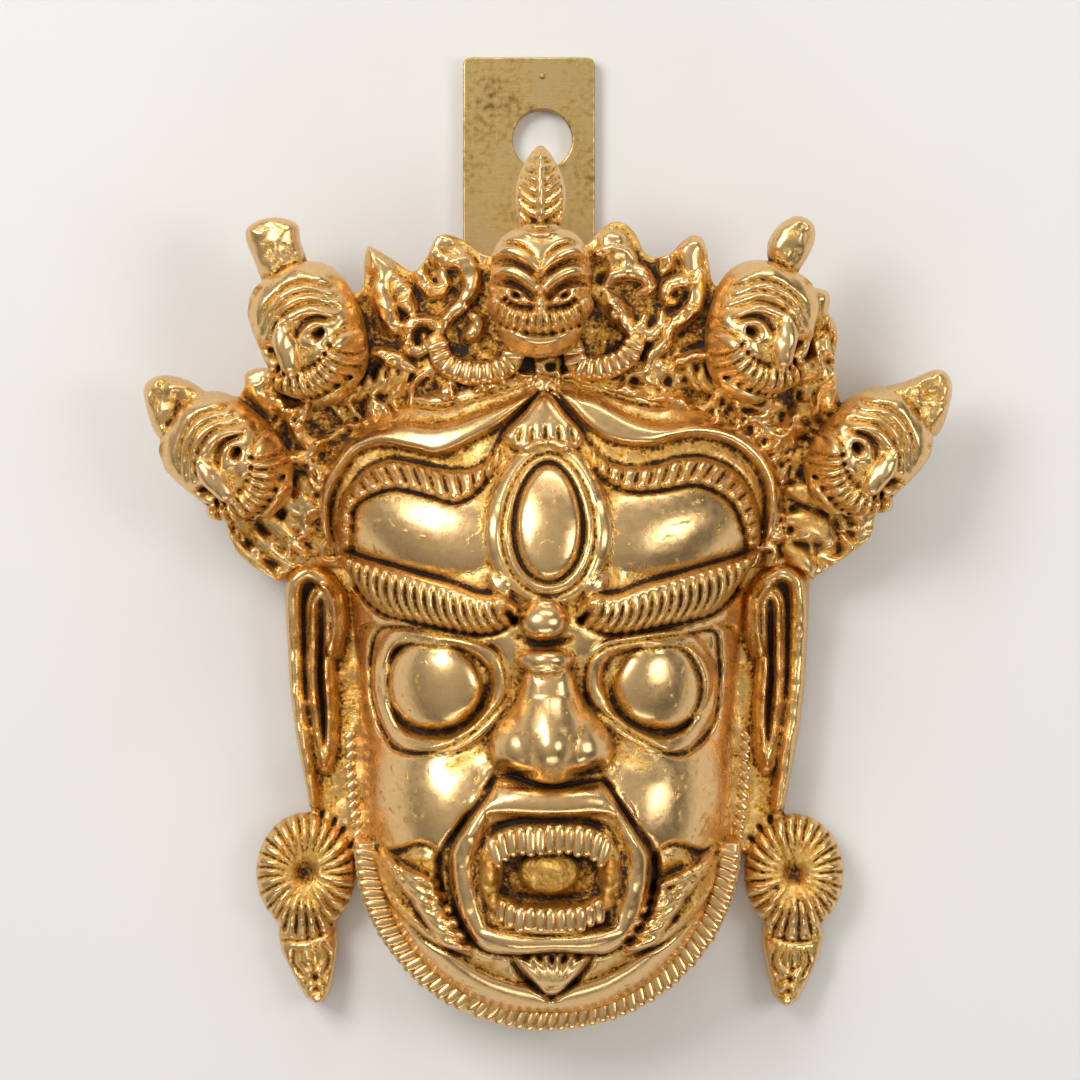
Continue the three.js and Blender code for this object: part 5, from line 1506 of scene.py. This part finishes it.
HOLE = (-0.9, 68.2, 5.05)  # x, y, radius
BEVEL, CORNER = 0.28, 0.9
outline = bpy.data.curves.new("hanging_bar", "CURVE")
outline.dimensions, outline.fill_mode = "2D", "BOTH"
outline.extrude, outline.bevel_depth, outline.bevel_resolution = (BAR_THICK / 2 - BEVEL) * MM, BEVEL * MM, 2
left, right = BAR_LEFT + BEVEL, BAR_LEFT + BAR_WIDTH - BEVEL
foot, head_end = BAR_TOP - BAR_LENGTH + BEVEL, BAR_TOP - BEVEL
edge_points = [(left, foot), (right, foot), (right, head_end - CORNER),
               (right - CORNER * 0.3, head_end - CORNER * 0.3),
               (right - CORNER, head_end), (left + CORNER, head_end),
               (left + CORNER * 0.3, head_end - CORNER * 0.3),
               (left, head_end - CORNER)]
turns = np.arange(48) * 2 * math.pi / 48
hole_points = [(HOLE[0] + (HOLE[2] + BEVEL) * math.cos(a),
                HOLE[1] + (HOLE[2] + BEVEL) * math.sin(a)) for a in -turns]
for ring in (edge_points, hole_points):
    spline = outline.splines.new("POLY")
    spline.points.add(len(ring) - 1)
    spline.use_cyclic_u = True
    for point, (x, y) in zip(spline.points, ring):
        point.co = ((x + SHIFT[0]) * MM, (y + SHIFT[1]) * MM, 0, 1)
drawn = put("hanging_bar_outline", outline)
bpy.context.view_layer.update()
bar_mesh = bpy.data.meshes.new_from_object(drawn.evaluated_get(bpy.context.evaluated_depsgraph_get()))
bpy.data.objects.remove(drawn)
bar_mesh.transform(Matrix.Translation((0, 0, BAR_THICK / 2 * MM)))
PIMPLE = (-0.9, 78.9, 0.55)  # x, y, radius
pimple = bmesh.new()
pimple.from_mesh(bar_mesh)
spot = Matrix.Translation(((PIMPLE[0] + SHIFT[0]) * MM, (PIMPLE[1] + SHIFT[1]) * MM, (BAR_THICK - 0.1) * MM))
bmesh.ops.create_uvsphere(pimple, u_segments=12, v_segments=8, radius=PIMPLE[2] * MM, matrix=spot)
pimple.to_mesh(bar_mesh)
pimple.free()
hanging_bar = put("hanging_bar", bar_mesh)
hanging_bar.data.materials.clear()
hanging_bar.data.materials.append(bar_metal())
print("bar", len(bar_mesh.polygons), "faces, from z", round(min(v.co.z for v in bar_mesh.vertices) / MM, 2))

# %% [markdown]
# ## Putting the pieces together
# The bars are joined to the pieces that carry them. Each piece of the casting stands for a part of
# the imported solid, so that solid isn't shown, and all of them ride on the one rigid body.

# %% Joining, naming and riding
def joined(into, others):
    with bpy.context.temp_override(active_object=into, selected_editable_objects=[into, *others]):
        bpy.ops.object.join()
    return into


for piece in (head_piece, crown_piece, ear_blocks[-1][1], ear_blocks[1][1]):
    piece.data.materials.clear()
    piece.data.materials.append(CAST)
joined(head_piece, [head_bars])
joined(crown_piece, [crown_bars])
for piece in (head_piece, crown_piece, ear_blocks[-1][1], ear_blocks[1][1]):
    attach(piece, "root")
    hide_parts("mask")
    print(piece.name, len(piece.data.polygons), "faces")
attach(hanging_bar, "root")
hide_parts("hanging_tab")
print(hanging_bar.name, "rides on root")

# %% [markdown]
# ## The table, the light and the camera
# Polished metal shows what is around it more than its own colour. Broad soft lights stand on all
# sides with darker gaps between them, so that every curve of the face gets a bright and a dark part.
# The camera hangs straight above the mask, as in the photograph.

# %% The table
TABLE_HALF = 2.0
table_mesh = bpy.data.meshes.new("table")
table_mesh.from_pydata([(x * TABLE_HALF, y * TABLE_HALF, 0) for x, y in ((-1, -1), (1, -1), (1, 1), (-1, 1))],
                       [], [(0, 1, 2, 3)])
table = put("table", table_mesh)
paper = bpy.data.materials.new("pale_paper")
paper.use_nodes = True
paper.node_tree.nodes["Principled BSDF"].inputs["Base Color"].default_value = (0.78, 0.77, 0.75, 1)
paper.node_tree.nodes["Principled BSDF"].inputs["Roughness"].default_value = 0.9
table.data.materials.append(paper)
print("table", 2 * TABLE_HALF, "m wide")

# %% Sky and lamps
world = bpy.data.worlds.new("studio")
bpy.context.scene.world = world
world.use_nodes = True
world.node_tree.nodes["Background"].inputs["Strength"].default_value = 1.0
sky = world.node_tree.nodes.new("ShaderNodeTexCoord")
tilt = world.node_tree.nodes.new("ShaderNodeVectorMath")
tilt.operation = "DOT_PRODUCT"
tilt.inputs[1].default_value = (-0.35, 0.3, 0.89)
shade = world.node_tree.nodes.new("ShaderNodeValToRGB")
for element, (at, level) in zip(shade.color_ramp.elements, ((0.15, 0.16), (1.0, 0.55))):
    element.position, element.color = at, (level, level * 0.97, level * 0.93, 1)
world.node_tree.links.new(sky.outputs["Generated"], tilt.inputs[0])
world.node_tree.links.new(tilt.outputs["Value"], shade.inputs["Fac"])
world.node_tree.links.new(shade.outputs["Color"], world.node_tree.nodes["Background"].inputs["Color"])

LIGHTS = [("over_left", (-0.42, 0.34, 0.55), 0.42, 0.3, 3.2), ("over_right", (0.5, 0.05, 0.5), 0.3, 0.3, 1.3),
          ("low_front", (0.05, -0.6, 0.3), 0.6, 0.15, 0.9), ("behind_crown", (0.1, 0.7, 0.3), 0.6, 0.15, 1.4)]
for name, at, wide, deep, power in LIGHTS:
    lamp = bpy.data.lights.new(name, "AREA")
    lamp.shape, lamp.size, lamp.size_y, lamp.energy = "RECTANGLE", wide, deep, power
    made = put(name, lamp)
    made.location = at
    made.rotation_euler = (Vector((0, 0, 0.02)) - Vector(at)).to_track_quat("-Z", "Y").to_euler()
print(len(LIGHTS), "lamps round the mask")

# %% The camera
CAMERA_HEIGHT, FIELD = 650.0, 183.6
CAMERA_AT = (-1.275, 0.34)
lens = bpy.data.cameras.new("camera")
lens.sensor_width = 36
lens.lens = lens.sensor_width * CAMERA_HEIGHT / FIELD
lens.clip_start = 0.01
camera = put("camera", lens)
camera.location = ((CAMERA_AT[0] + SHIFT[0]) * MM, (CAMERA_AT[1] + SHIFT[1]) * MM, CAMERA_HEIGHT * MM)
bpy.context.scene.camera = camera
bpy.context.scene.view_settings.view_transform = "Standard"
print("camera", CAMERA_HEIGHT, "mm up, sees", FIELD, "mm of the table")
